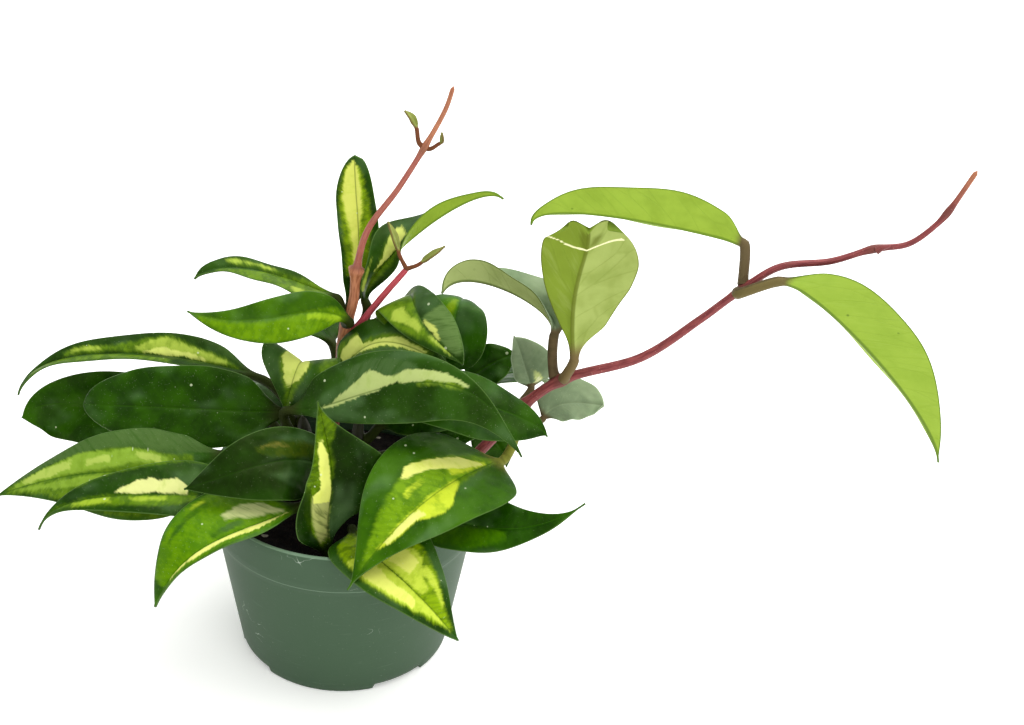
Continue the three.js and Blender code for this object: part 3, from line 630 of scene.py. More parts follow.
# path: points of the stem's line. nodes: where it swells. radius: at its foot and tip. sheath: heights
# of the foot and rim of its dry sheath. tan: shares of its length between which it turns straw brown.
# A branch has a path and radius, and may have a bark of its own.
STEMS = {
    "trailing_vine": dict(
        path="36 -4 46, 37 -4 64, 43 -3 80, 56 0 97, 68 2 113, 81 2 125, 110 1 138, 130 1 156, "
             "143 0 170, 155 0 180, 173 0 184, 187 0 190, 199 0 193, 207 0 201, 210 0 206, 216 -2 223",
        nodes="67 2 112, 81 2 125, 143 0 170, 187 0 190, 210 0 206",
        radius=(2.6, 0.9), bark="vine", tan=(0.93, 1),
        branches=[dict(path="188 -1 190, 190 -1.6 191.6, 192.5 -1.6 192.4", radius=(1.2, 0.6))]),
    "upright_shoot": dict(
        path="-8 15 46, -8 15 66, -6 15 108, -4 15 129, 0 14 146, 1 14 159, 5 13 176, 16 12 194, "
             "25 11 211, 32 10 226, 34.5 9 235",
        nodes="-6 15 108, -3 15 135, 1 14 159, 25 11 211",
        radius=(2.3, 0.8), bark="shoot", sheath=(118, 160), tan=(0.84, 0.9),
        branches=[dict(path="-3 15 128, 5 13 140, 13 10 153, 20.7 10 163.6", radius=(1.5, 1.1),
                       bark="side")]),
    "left_stem": dict(
        path="-14 -2 46, -14 -2 66, -15 -4 84, -16 -4 96, -17 -3 103",
        nodes="-15 -4 85, -16 -4 97", radius=(2.4, 1.9), bark="old"),
    "middle_stem": dict(
        path="4 -10 46, 4 -10 66, 5 -10 84, 5 -8 98, 6 -6 116",
        nodes="5 -10 82, 5 -8 98", radius=(2.4, 1.9), bark="old"),
    "back_stem": dict(
        path="24 20 46, 25 20 66, 32 22 88, 39 22 106",
        nodes="32 22 88", radius=(2.3, 1.9), bark="old"),
}


def stem_radius(stem, nodes, centres, u):
    """The radius tapers as the 0.8th power of the length, and swells by a bell around each node."""
    apart = np.linalg.norm(centres[:, None, :] - rows(nodes)[None], axis=2)
    swelling = np.exp(-((apart / NODE_LENGTH) ** 2)).sum(1)
    low, high = stem["radius"]
    return (low + (high - low) * u**0.8) * (1 + NODE_SWELLING * swelling), swelling


def stem_skin(stem, nodes, rings):
    """A profile carried along the stem's line: rings of the stem's radius, square to the line, with
    a slow ripple along the bark and a rounded end. A sheath thickens it from its foot, and flares
    to an open rim by a bell of the height below the rim. The field "sheath" is one on a sheath, and
    grows towards the tip where the bark turns to tan."""
    line, share = stem_line(stem["path"])
    u = np.linspace(0, 1, rings)
    centres, ways = along_line(line, share, u)
    radius, swelling = stem_radius(stem, nodes, centres, u)
    length = np.linalg.norm(np.diff(line, axis=0), axis=1).sum()
    end = np.clip((1 - u) * length / (2 * stem["radius"][1]), 0, 1)
    radius = radius * np.maximum(0.15, np.sqrt(1 - (1 - end) ** 2))
    turn = np.linspace(0, 2 * math.pi, STEM_SIDES, endpoint=False)
    over = square_to(np.broadcast_to([0.0, 1.0, 0.0], ways.shape), ways)
    out = np.cross(ways, over)
    ripple = (1 + 0.03 * np.sin(3 * turn[None] + 9 * u[:, None])
              + 0.02 * np.sin(5 * turn[None] - 40 * u[:, None]))
    foot, rim = stem.get("sheath", (0, 0))
    wrapped = smoothstep(centres[:, 2], foot, foot + SHEATH_START) * (centres[:, 2] < rim)
    flare = SHEATH_THICKNESS + SHEATH_FLARE * bell(centres[:, 2], rim, SHEATH_LIP)
    ring = (radius + wrapped * flare)[:, None] * ripple
    grid = centres[:, None] + ring[..., None] * (
        np.cos(turn)[None, :, None] * over[:, None] + np.sin(turn)[None, :, None] * out[:, None])
    points, faces = closed_tube(grid)
    spread = lambda values: np.append(np.repeat(values, STEM_SIDES), [values[0], values[-1]])
    around = np.append(np.tile(np.abs(turn - math.pi), rings), [0, 0])
    fields = {"along": spread(u * length), "turn": around, "node": spread(np.clip(swelling, 0, 1)),
              "sheath": spread(np.maximum(wrapped, TAN_STRENGTH * smoothstep(u, *stem.get("tan", (1, 2)))))}
    return points, faces, fields


def joined(parts):
    """Several skins as one, with their fields."""
    offsets = np.cumsum([0] + [len(p) for p, _, _ in parts[:-1]])
    points = np.vstack([p for p, _, _ in parts])
    faces = np.vstack([f + o for (_, f, _), o in zip(parts, offsets)])
    fields = {name: np.concatenate([part[2][name] for part in parts]) for name in parts[0][2]}
    return points, faces, fields


def outward(part):
    """The same skin with its faces turned outwards."""
    points, faces, fields = part
    return points, faces if volume(points, faces) > 0 else faces[:, ::-1], fields


def make_stem(name, stem):
    """A stem and its branches, as one piece."""
    rings = int(np.linalg.norm(np.diff(rows(stem["path"]), axis=0), axis=1).sum() / STEM_STEP)
    branches = stem.get("branches", [])
    parts = [outward(stem_skin(stem, stem["nodes"], rings))]
    parts += [outward(stem_skin(branch, stem["nodes"], BRANCH_ROWS)) for branch in branches]
    barks = [stem["bark"]] + [branch.get("bark", stem["bark"]) for branch in branches]
    kinds = list(dict.fromkeys(barks))
    finish = [np.full(len(part[1]), kinds.index(bark)) for part, bark in zip(parts, barks)]
    points, faces, fields = joined(parts)
    finishes = [BARK[kind] for kind in kinds]
    make_piece(name + "_bark", points, faces, finishes, [name], fields, np.concatenate(finish))


# ---------------------------------------------------------------- leaves

# rib: the midrib's points from the foot of the blade to the tip. on: the stem and the height at which
# the stalk leaves it, and exit the side. root: where a stalk stands in the mix instead. bend: length
# of the stalk's straight ends, as a share of its own. stalk: its radius. face and face_tip: where the
# upper face looks at the foot and at the tip. half: greatest half width, and sides the share of it on
# each side. peak: where along the rib it lies. round and point: powers of the outline before and
# after it. reach: where the outline would close. fold: degrees between a half and the flat at the rib.
# wave: height, count and phase of the margin's waves. heel and lobe: how far the margin runs back at
# the foot and ahead at the tip. A pair is the left and right half, as seen from above with the tip
# ahead.
LEAVES = {
    "left_long": dict(
        rib="-38 18 106, -77 24 109, -115 22 106, -133 12 93",
        on=("left_stem", 100), exit=(-0.6, 1, 0), half=10.5, sides=(0.8, 1), peak=(0.45, 0.25),
        round=(0.95, 1.05), point=(1.35, 2.15), face=(0, -0.2, 1), fold=(31, 31)),
    "left_broad": dict(
        rib="-24 -2 103, -53 -5 104, -78 -5 103, -102 -2 100", on=("left_stem", 93),
        half=17, sides=(0.9, 1), peak=0.4, round=(0.4, 0.5), point=(0.6, 0.45), face=(0, -0.7, 0.7),
        fold=(7, 12)),
    "left_back": dict(
        rib="-48 22 88, -78 24 80, -110 18 87, -131 8 85", on=("left_stem", 86),
        half=16.5, peak=0.45, point=(0.35, 1.2), face=(0, -0.9, 0.4)),
    "left_low": dict(
        rib="-41 -22 96, -66 -30 91, -89 -34 91, -127 -34 77", on=("left_stem", 87),
        half=19, sides=(1, 0.95), peak=0.45, round=(0.6, 0.5), point=(1.2, 1), face=(0, -0.6, 0.8),
        fold=(8, 4)),
    "left_under": dict(
        rib="-37 -31 86, -54 -42 90, -85 -48 90, -105 -52 77", on=("left_stem", 78),
        half=14, sides=(0.65, 1), peak=0.3, point=(1.75, 1.9), face=(0, -0.6, 0.8), fold=(21, 1)),
    "middle_dark": dict(
        rib="-3 -20 91, -16 -33 103, -32 -42 103, -52 -48 97",
        on=("middle_stem", 96), half=15, sides=(1, 0.85), peak=(0.35, 0.45), round=(0.6, 0.45),
        face=(0, -0.75, 0.65), fold=(5, 8)),
    "front_left": dict(
        rib="-12 -38 86, -31 -54 85, -46 -66 81, -58 -73 63",
        on=("middle_stem", 84), half=20, sides=(0.3, 1), peak=(0.3, 0.4), round=(0.75, 0.6),
        point=(1.25, 1.05), face=(0, -0.6, 0.8), fold=(39, -3)),
    "front_upright": dict(
        rib="-1 -41 65, -1 -39 89, -1 -34 99, -7 -28 126", root=(-4, -41, 56),
        half=22.5, sides=(0.7, 1), peak=(0.25, 0.65), round=(0.6, 1.7), point=(0.9, 1.65),
        face=(0.45, -0.85, 0), fold=(29, 28)),
    "front_large": dict(
        rib="60 -14 96, 43 -36 100, 26 -55 93, 10 -69 74",
        on=("trailing_vine", 109), half=25.5, sides=(0.75, 1), heel=(9, 0), peak=(0.25, 0.4),
        round=(0.5, 0.55), point=(1.65, 1.6), face=(0.05, -0.43, 0.9), fold=(15, 10)),
    "front_rim": dict(
        rib="7 -33 73, 18 -53 77, 31 -63 73, 50 -66 52", root=(10, -25, 57),
        half=19, sides=(1, 0.8), peak=(0.45, 0.25), point=(1.1, 0.8), face=(0.1, -0.55, 0.8),
        fold=(12, 25)),
    "right_low": dict(
        rib="31 -22 74, 48 -37 83, 69 -44 88, 92 -45 102", on=("middle_stem", 76),
        half=13, sides=(1, 0.9), peak=(0.4, 0.3), point=(2, 1.55), face=(0, -0.5, 0.85),
        fold=(12, 10)),
    "top_large": dict(
        rib="-20 -14 112, 7 -20 125, 39 -26 136, 68 -33 112", on=("left_stem", 90),
        exit=(0.3, -1, 0), half=14.5, peak=(0.35, 0.55), round=(0.6, 1.6), point=(2.4, 1.05),
        face=(0, -0.75, 0.65), fold=(6, 1)),
    "top_right": dict(
        rib="21 -12 120, 37 -17 126, 62 -18 121, 77 -18 112",
        on=("middle_stem", 110), half=14, sides=(0.85, 1), peak=(0.35, 0.5), point=1.35,
        face=(0, -0.5, 0.85), fold=(6, 3)),
    "top_arched": dict(
        rib="-3 2.5 121, 6 1 133, 20 -2 137.5, 43 -4 126",
        on=("upright_shoot", 112), exit=(0.3, -1, 0), half=13, sides=(0.85, 0.75), peak=(0.35, 0.3),
        face=(0, -0.5, 0.85), fold=(8, 6), heel=(5, 0)),
    "top_folded": dict(
        rib="-15 7 106, -16.5 4 119, -18 -3 126, -23 -8 106",
        on=("upright_shoot", 92), half=15.5, peak=0.65, round=1.5, point=(1.05, 1.4),
        face=(0, 1, 0.3), face_tip=(0, -1, 0.3), fold=(22, 17)),
    "top_twisted": dict(
        rib="8 22 133, 21 16 149, 25 4 149, 44 -11 136", on=("upright_shoot", 120),
        exit=(0.8, 1, 0), half=15, sides=(0.7, 1.05), peak=(0.82, 0.3), round=(2.6, 0.5),
        point=(0.7, 1.05), face=(-0.2, -0.35, 0.9), face_tip=(-0.3, -0.55, 0.8), fold=(20, 10)),
    "back_round": dict(
        rib="34 24 112, 37 23 126, 39 28 138, 41 40 136", on=("back_stem", 102),
        exit=(-1, 0.2, 0), half=16.5, sides=(1, 0.85), peak=0.4, point=(1.15, 0.95),
        face=(0, -1, 0.1), face_tip=(0, -0.6, 0.8), fold=(9, 11)),
    "back_dark": dict(
        rib="46 24 109, 50 26 113, 57 28 117, 63 30 119", on=("back_stem", 101),
        half=9, face=(0, -0.6, 0.8)),
    "grey_upper": dict(
        rib="70 11 116, 68 15 119, 65 18 126, 62 17 134", on=("trailing_vine", 112),
        half=12, sides=(0.45, 1), peak=(0.35, 0.4), point=(0.9, 1.25), face=(0.3, -0.9, 0.4),
        stalk=1.4),
    "grey_right": dict(
        rib="76 8 104, 83 12 108, 92 14 108, 99 12 109", on=("trailing_vine", 109),
        half=12, sides=(1, 0.65), round=(0.35, 0.3), point=(0.9, 0.7), face=(0, -0.5, 0.85),
        stalk=1.4),
    "vine_left": dict(
        rib="77 5 143, 68 13 151, 48 16 157, 34 6 156", on=("trailing_vine", 124),
        exit=(-0.5, 0.6, 0.6), bend=0.2, half=12.5, sides=(0.7, 1), peak=(0.75, 0.3),
        round=(0.8, 0.6), point=(1.05, 1.2), face=(0, 0, 1), face_tip=(-0.35, 0.6, 0.45),
        fold=(56, 49)),
    "vine_heart": dict(
        rib="85 -2 137, 83 2 160, 85 5 174, 86 7 184", on=("trailing_vine", 126),
        exit=(-0.3, -0.8, 0.4), bend=0.2, half=20.5, sides=(1, 0.8), peak=(0.7, 0.75), reach=1.1,
        round=(0.6, 1.3), point=(0.6, 0.55), face=(0, 1, 0), fold=(8, 16), lobe=5),
    "vine_arched": dict(
        rib="141 1 188, 118 6 190, 83 10 191, 65 7 186", on=("trailing_vine", 171),
        exit=(-0.4, 1, 0.4), bend=0.12, half=16.5, sides=(1, 0.25), peak=(0.4, 0.45),
        round=(0.8, 0.65), point=(1.45, 1.05), face=(0, 0.85, 0.5), face_tip=(0, 0.75, 0.65),
        fold=(22, 27)),
    "vine_hanging": dict(
        rib="156 -4 176.5, 178 -5 164, 208 -8 136, 225 -12 110",
        on=("trailing_vine", 169), exit=(-0.2, -1, 0.2), bend=0.3, half=19.5, sides=(0.2, 1),
        peak=0.4, round=(0.6, 1.15), point=(1.4, 1.9), face=(0.5, 0.75, 0.4),
        face_tip=(0.45, 0.85, 0.25), fold=(32, 22)),
    "shoot_upright": dict(
        rib="-3 22 137, 0 27 158, -1 30 176, -2 28 199", on=("upright_shoot", 132),
        exit=(-0.3, 1, 0), half=8, peak=(0.7, 0.45), point=(0.6, 0.3), face=(0, -1, 0.1)),
    "shoot_right": dict(
        rib="4 19 143, 12 21 161, 35 22 183, 54 24 188", on=("upright_shoot", 126),
        exit=(0.4, 1, 0), half=10.5, sides=(1, 0.55), peak=(0.45, 0.55), round=(0.6, 0.75),
        point=(1.35, 1.45), face=(0.55, -0.6, 0.5), face_tip=(0.05, 0.8, 0.6), fold=(51, 29)),
    "shoot_left": dict(
        rib="-7 15 146, -24 17 151, -44 14 156, -59 8 153",
        on=("upright_shoot", 139), exit=(-1, 0, 0), half=10.5, sides=(1, 0.45), peak=(0.3, 0.7),
        round=(0.6, 0.85), point=(1.45, 1.15), face=(0, -0.2, 1), fold=(22, 31)),
    "shoot_lime": dict(
        rib="-1 8 140, -15 0 147, -33 -7 146, -57 -12 150",
        on=("upright_shoot", 137), exit=(-0.2, -1, 0), half=10, sides=(1, 0.8), peak=(0.5, 0.4),
        round=(0.95, 0.6), point=(1, 1.15), face=(0, -0.8, 0.6), fold=(9, 11)),
    "inner_right": dict(
        rib="14 -7 104, 26 -7 109, 39 -8 112, 53 -8 115", on=("middle_stem", 98),
        half=8, face=(0, -0.6, 0.8)),
    "inner_front": dict(
        rib="23 -5 93, 33 -5 99, 44 -5 103, 53 -5 101", on=("middle_stem", 90),
        half=8, face=(0, -0.6, 0.8)),
    "inner_low": dict(
        rib="47 19 88, 53 18 87, 59 16 84, 63 13 76", on=("back_stem", 85), half=9,
        face=(0, -0.6, 0.8)),
    "rear_right": dict(
        rib="46 32 99, 59 38 104, 72 46 100, 83 52 88", on=("back_stem", 93),
        half=14, face=(0, 0.3, 1)),
    "rear_middle": dict(
        rib="-10 28 118, -18 40 122, -24 54 116, -28 66 102",
        on=("upright_shoot", 110), half=15, face=(0, 0.3, 1)),
    "rear_left": dict(
        rib="-30 22 78, -40 38 84, -50 52 82, -58 66 70", on=("left_stem", 74),
        half=14, face=(0, 0.3, 1)),
    "rear_low": dict(
        rib="28 34 88, 34 50 91, 38 63 84, 40 74 68", on=("back_stem", 77), half=15,
        face=(0, 0.3, 1)),
    "rear_under": dict(
        rib="-10 29 88, -16 42 88, -22 56 80, -26 66 64", on=("upright_shoot", 80),
        half=13, face=(0, 0.3, 1)),
}

# Which leaves have which upper and lower face. The others are dark above and green below.
UPPER_FACES = {
    "mottled": "left_low", "under mottled": "left_under", "front": "front_left",
    "cream centre": "front_upright", "front broad": "front_large", "bright": "front_rim shoot_upright",
    "plain": "right_low back_round", "pale streak": "top_large",
    "streaked": "left_long top_arched top_folded top_twisted shoot_right shoot_left",
    "lime": "shoot_lime", "shaded": "middle_dark", "grey": "vine_left grey_upper grey_right",
    "heart face": "vine_heart", "vine": "vine_arched vine_hanging",
}
UNDER_FACES = {
    "pale": "shoot_right vine_arched", "olive": "shoot_left", "khaki": "vine_left grey_upper grey_right",
    "heart": "vine_heart", "hanging": "vine_hanging",
}


def face_of(name, faces, usual):
    """The finish whose list of leaves has this name."""
    return next((key for key, leaves in faces.items() if name in leaves.split()), usual)


def pick(value, usual, hand):
    """A leaf's value for the left or right half, where it has two."""
    value = usual if value is None else value
    left, right = value if isinstance(value, tuple) else (value, value)
    return np.where(hand, right, left)


def half_width(leaf, t, hand):
    """Half the blade's width. Up to the peak it is 1 - (1 - t/peak)^2 to the power round, and past
    it 1 - ((t - peak)/(reach - peak))^2 to the power point, times the side's greatest half width."""
    peak = pick(leaf.get("peak"), 0.42, hand)
    near = (1 - (1 - np.minimum(t, peak) / peak) ** 2) ** pick(leaf.get("round"), 0.6, hand)
    far = (1 - (np.maximum(0, t - peak) / (leaf.get("reach", 1) - peak)) ** 2).clip(0)
    far = far ** pick(leaf.get("point"), 1.05, hand)
    return leaf["half"] * pick(leaf.get("sides"), 1, hand) * near * far


def blade_frame(leaf, t):
    """The rib's point, its direction, the way the upper face looks, and the way to the right margin."""
    place, way = rib_line(leaf["rib"], t)
    face = np.array(leaf["face"], float)
    turned = np.array(leaf.get("face_tip", leaf["face"]), float)
    normal = square_to(face + (turned - face) * np.reshape(t, (-1, 1)), way)
    return place, way, normal, np.cross(way, normal)


def section_columns():
    """Places round a section, from the left margin over the upper face to the right one and back
    below: the share of the half width, signed, the angle on a round stalk, and 1 above or -1 below.
    The columns stand closer at the rib and at the margins, as k - 0.8 sin(2 pi k) / 2 pi."""
    k = np.linspace(-1, 1, 2 * HALF_COLUMNS + 1)
    share = np.sign(k) * (np.abs(k) - 0.8 * np.sin(2 * np.pi * np.abs(k)) / (2 * np.pi))
    angle = np.pi * (1 - k) / 2
    share = np.concatenate([share, share[-2:0:-1]])
    angle = np.concatenate([angle, -angle[-2:0:-1]])
    level = np.concatenate([np.ones(len(k)), -np.ones(len(k) - 2)])
    return share, angle, level


def blade_grid(leaf, t):
    """The blade as a function of the share t along the rib and the share u across. Each half leaves
    the rib at its fold angle and turns on by its curl, so that a point is
    span (sin(fold + curl u) - sin fold) out and span (cos fold - cos(fold + curl u)) up, with span
    the half width over the curl. Waves lift the margin, a lobe carries the middle of each half past
    the rib's end, and a heel carries a margin back. The faces stand half a thickness off, rounded at
    the margins; a groove runs along the rib above and a keel below it."""
    place, way, normal, side = blade_frame(leaf, t)
    share, angle_round, level = section_columns()
    t = t[:, None]
    u = np.abs(share)[None]
    hand = (share > 0)[None]
    sign = np.where(hand, 1.0, -1.0)
    width = np.maximum(TIP_HALF_WIDTH, half_width(leaf, t, hand))
    fold = np.radians(pick(leaf.get("fold"), 12, hand))
    curl = math.radians(CURL)
    angle = fold + curl * u
    span = width / curl
    height, count, phase = leaf.get("wave", (0.5, 3, 0.1 * len(leaf)))
    fade = np.clip(np.minimum(t / 0.15, (1 - t) / 0.2), 0, 1)
    wave = height * fade * u**2 * np.sin(2 * np.pi * (count * t + phase + 0.3 * hand))
    out = sign * span * (np.sin(angle) - np.sin(fold))
    lift = -span * (np.cos(angle) - np.cos(fold)) + wave
    ahead = leaf.get("lobe", 0) * np.sin(np.pi * u) * t**4
    ahead = ahead - pick(leaf.get("heel"), 0, hand) * u**2 * (1 - t) ** 6
    across = sign * width * u
    thickness = BLADE_THICKNESS / 2 * np.sqrt((1 - u**6).clip(0))
    groove = np.where(level > 0, GROOVE_DEPTH * bell(across, 0, 0.8) * (1 - t) ** 0.4, 0)
    keel = np.where(level < 0, KEEL_DEPTH * bell(across, 0, 1.3) * (1 - t), 0)
    offset = (level * thickness - groove - keel)[..., None]
    tilt = (np.cos(angle) * (u > 0) + (u == 0))[..., None]
    lean = (-sign * np.sin(angle) * (u > 0))[..., None]
    grid = (place[:, None] + out[..., None] * side[:, None] + lift[..., None] * normal[:, None]
            + ahead[..., None] * way[:, None] + offset * (tilt * normal[:, None] + lean * side[:, None]))
    radius = leaf.get("stalk", STALK_RADIUS) * (1 - 0.3 * t)
    grid_round = place[:, None] + radius[..., None] * (
        np.cos(angle_round)[None, :, None] * side[:, None]
        + np.sin(angle_round)[None, :, None] * normal[:, None])
    weight = smoothstep(t, *BLADE_GROWS)[..., None]
    return grid_round + weight * (grid - grid_round), across, width * (1 - u)


def stalk_line(leaf, foot, way, shares):
    """The stalk's centre line: a cubic that leaves the stem's bark squarely on the exit side, and
    meets the blade along its rib."""
    if "on" in leaf:
        name, height = leaf["on"]
        stem = STEMS[name]
        line, share = stem_line(stem["path"])
        u = np.interp(height, line[:, 2], share)
        centre, along = (x[0] for x in along_line(line, share, np.array([u])))
        leaving = square_to(np.array(leaf.get("exit", foot - centre), float), along)
        radius = stem_radius(stem, stem["nodes"], centre[None], np.array([u]))[0][0]
        root = centre + leaving * (radius - 0.5)
    else:
        root = np.array(leaf["root"], float)
        leaving = unit(foot - root)
    bend = leaf.get("bend", STALK_BEND) * np.linalg.norm(root - foot)
    return bezier(root, root + leaving * bend, foot - way * bend, foot, shares)


def patch_field(bands, t, u, width, length):
    """How many millimetres a point lies inside the nearest of several bands. A band is a run of
    knots (share along the rib, lowest and highest share across), and the depth is the smallest
    distance to its two sides and its two ends."""
    depth = np.full(u.shape, NO_PATCH)
    for band in bands.split(";") if bands else ():
        along, low, high = rows(band).T / 100
        inside = np.minimum(u - np.interp(t, along, low), np.interp(t, along, high) - u) * width
        ends = np.minimum(t - along[0], along[-1] - t) * length
        depth = np.maximum(depth, np.minimum(inside, ends))
    return depth


# Each leaf's patches by colour. Semicolons part the patches. A patch is a run of knots, and a knot has
# the share along the rib and the lowest and highest share of the half width across, all in hundredths;
# below zero is the left half.
PATTERNS = {
    "left_long": {
        "lime": "8 5 20, 14 5 45, 22 5 50, 33 5 85, 40 5 70, 48 10 45, 57 10 50, 63 10 65, "
                "68 20 40; 30 -95 -60, 50 -95 -40, 80 -90 -30, 88 -80 -60",
        "yellow": "13 12 35, 20 10 40, 26 10 55, 34 15 78, 39 15 60, 43 20 35; 54 25 45, "
                  "60 25 60, 65 35 50",
        "cream": "20 5 15, 25 6 25, 34 6 35, 40 6 15"},
    "left_low": {
        "grey": "4 50 100, 30 42 100, 50 55 100, 95 60 100",
        "lime": "15 -100 35, 50 -95 55, 80 -90 65, 97 -60 45",
        "yellow": "28 12 32, 37 18 45, 50 20 52, 60 10 48, 70 6 58, 85 4 63, 95 5 45; 62 -20 -5, "
                  "75 -40 -10, 93 -50 -15",
        "cream": "32 20 36, 40 25 42, 47 30 44; 60 22 40, 70 20 42; 76 20 52, 86 12 60, 92 15 45"},
    "left_under": {
        "lime": "28 -35 2, 36 -50 2, 45 -62 2, 55 -60 5, 65 -65 5, 76 -70 5, 85 -40 2, 92 -20 0; "
                "15 93 100, 80 95 100",
        "yellow": "40 -30 -8, 50 -40 -12, 53 -30 -20; 60 -50 -12, 76 -60 -10",
        "cream": "32 4 20, 36 4 48, 42 4 42, 46 5 52, 51 6 48, 55 8 30, 59 10 20"},
    "middle_dark": {
        "lime": "10 5 50, 20 10 58, 33 10 60, 45 15 58, 56 35 50",
        "yellow": "35 38 45, 42 42 54, 52 44 52"},
    "front_left": {
        "lime": "6 -70 60, 20 -80 92, 50 -85 93, 90 -90 90",
        "deep": "42 72 80, 58 66 78, 72 60 72; 30 10 22, 50 6 16",
        "grey": "8 5 16, 15 14 46, 22 15 52, 30 25 50, 38 30 42",
        "yellow": "42 80 88, 50 80 88",
        "cream": "8 -15 -4, 15 -50 -4, 25 -58 -4, 40 -50 -4, 55 -55 -4, 72 -55 -4, 84 -25 -5"},
    "front_upright": {
        "lime": "8 -50 0, 30 -80 0, 60 -100 0, 85 -100 10, 93 -100 90, 100 -100 100",
        "deep": "10 -100 -55, 28 -100 -58, 45 -95 -78, 55 -90 -85",
        # grey: painted shade where the lower part of the cream stripe lies in shadow
        "grey": "10 -45 -2, 20 -52 -2, 30 -62 -2, 42 -72 -2, 50 -50 -4",
        "cream": "36 -62 -3, 44 -70 -3, 50 -50 -4, 60 -52 -8, 70 -60 -12, 80 -68 -15, 88 -75 -35"},
    "front_large": {
        "lime": "5 -10 30, 20 -10 38, 40 -20 55, 60 -20 50, 80 -10 45, 90 -5 30",
        "yellow": "30 -10 2, 36 -25 2, 42 -45 2, 48 -56 2, 55 -45 2, 60 -30 2, 68 -35 2, "
                  "74 -38 2, 80 -10 2; 10 2 10, 20 4 26, 30 10 40; 42 24 28, 55 24 34",
        "cream": "12 4 10, 20 10 32, 30 22 45, 37 34 50, 45 42 60, 50 45 55; 55 -30 -2, "
                 "65 -30 -2, 76 -32 -2"},
    "front_rim": {
        "lime": "5 -60 65, 30 -75 80, 60 -75 78, 80 -70 74, 95 -40 35",
        "yellow": "30 0 75, 45 0 78, 60 2 73, 78 3 70, 84 5 45, 95 10 20; 30 -40 0, 45 -50 -2, "
                  "55 -60 -2, 62 -62 -3, 68 -42 -5, 76 -30 -8; 66 -60 -46, 78 -66 -48, 86 -58 -45",
        "cream": "40 20 72, 50 25 70, 62 30 66, 76 25 62; 44 -45 -10, 55 -50 -15, 62 -50 -20"},
    "right_low": {
        "lime": "10 -20 80, 25 0 90, 45 0 85, 60 20 60"},
    "top_large": {
        "grey": "30 -75 -30, 42 -80 -30, 50 -70 -20, 56 -60 -30",
        "lime": "56 -25 6, 65 -30 8, 73 -30 4",
        "cream": "17 0 15, 22 -2 15, 26 -15 10, 32 -30 8, 36 -45 6, 40 -54 2, 44 -32 -5, "
                 "47 -24 -6, 52 -42 -2, 60 -46 -5, 66 -46 -8, 72 -52 -15, 74.5 -42 -25"},
    "top_arched": {
        "lime": "5 -100 -10, 12 -95 0, 25 -72 10, 31 -65 20, 34 -25 25, 50 -28 25, 60 -42 25, "
                "70 -38 35, 84 -30 10",
        "cream": "10 -60 -15, 15 -55 -5, 20 -50 0, 26 -58 5, 31 -60 10, 34 -15 16, 42 -10 20, "
                 "52 -12 20, 60 -26 20, 68 -32 28, 75 -22 26, 82 -20 0"},
    "top_folded": {
        "lime": "50 -35 50, 70 -34 50, 85 -30 45, 97 -25 30; 40 -100 -50, 62 -95 -50, 70 -80 -55",
        "cream": "58 -20 45, 70 -30 46, 76 -26 36, 82 -20 38, 87 5 30"},
    "top_twisted": {
        "lime": "20 -100 100, 50 -20 100, 75 12 95, 90 15 50",
        "grey": "74 -100 -5, 85 -100 -8, 97 -100 -10",
        "yellow": "60 30 65, 67 30 88, 72 22 62, 79 20 45; 84 10 30, 95 5 30",
        "cream": "76 -10 0, 84 -30 -2, 88 -16 -5"},
    "back_round": {
        "lime": "25 -50 -8, 45 -55 -2, 60 -60 0, 75 -60 0, 86 -40 0",
        "yellow": "50 -30 -12, 65 -34 -10, 80 -30 -8"},
    "grey_upper": {
        "yellow": "2 10 90, 10 30 75, 20 22 50, 36 20 30",
        "cream": "2 30 80, 10 40 65, 20 30 42"},
    "vine_heart": {
        "cream": "74.5 28 50, 75.7 25 55; 75 45 55, 80 76 84, 86 96 100; 75.5 18 30, 78 6 15, "
                 "80 -4 4, 83 -22 -14, 87 -54 -44, 90 -80 -70",
        # deep: painted shade by the notch beyond the crease
        "deep": "80 2 12, 88 2 20, 96 0 20; 84 -15 -5, 92 -30 -10"},
    "shoot_upright": {
        "lime": "20 -75 50, 40 -80 55, 60 -80 65, 80 -80 66, 94 -80 40",
        "yellow": "28 -30 -5, 40 -40 2, 50 -50 10, 60 -60 20, 80 -70 40, 96 -60 25",
        "cream": "30 -25 -10, 42 -32 -2, 52 -40 4, 62 -50 10, 72 -60 26, 82 -66 30, 92 -66 20, "
                 "98 -40 10"},
    "shoot_right": {
        "lime": "10 -45 15, 25 -40 45, 42 -55 40",
        "yellow": "14 -90 -72, 24 -88 -75, 32 -85 -80",
        "cream": "26 -45 -34, 33 -35 -10, 40 -50 -8, 46 -70 -20"},
    "shoot_left": {
        "lime": "0 -100 100, 18 -100 100, 30 -100 45, 50 -100 -10, 70 -100 -50, 82 -100 -65; "
                "40 10 40, 55 15 60, 72 40 70",
        "yellow": "45 35 48, 55 36 60, 65 44 66, 73 50 62; 24 -85 -45, 33 -85 -60"},
    "shoot_lime": {
        "lime": "0 -100 90, 10 -100 50, 25 -100 12, 40 -100 -6, 80 -92 -15, 96 -85 -5",
        "yellow": "8 -60 -10, 20 -50 -5, 35 -30 -10"},
}


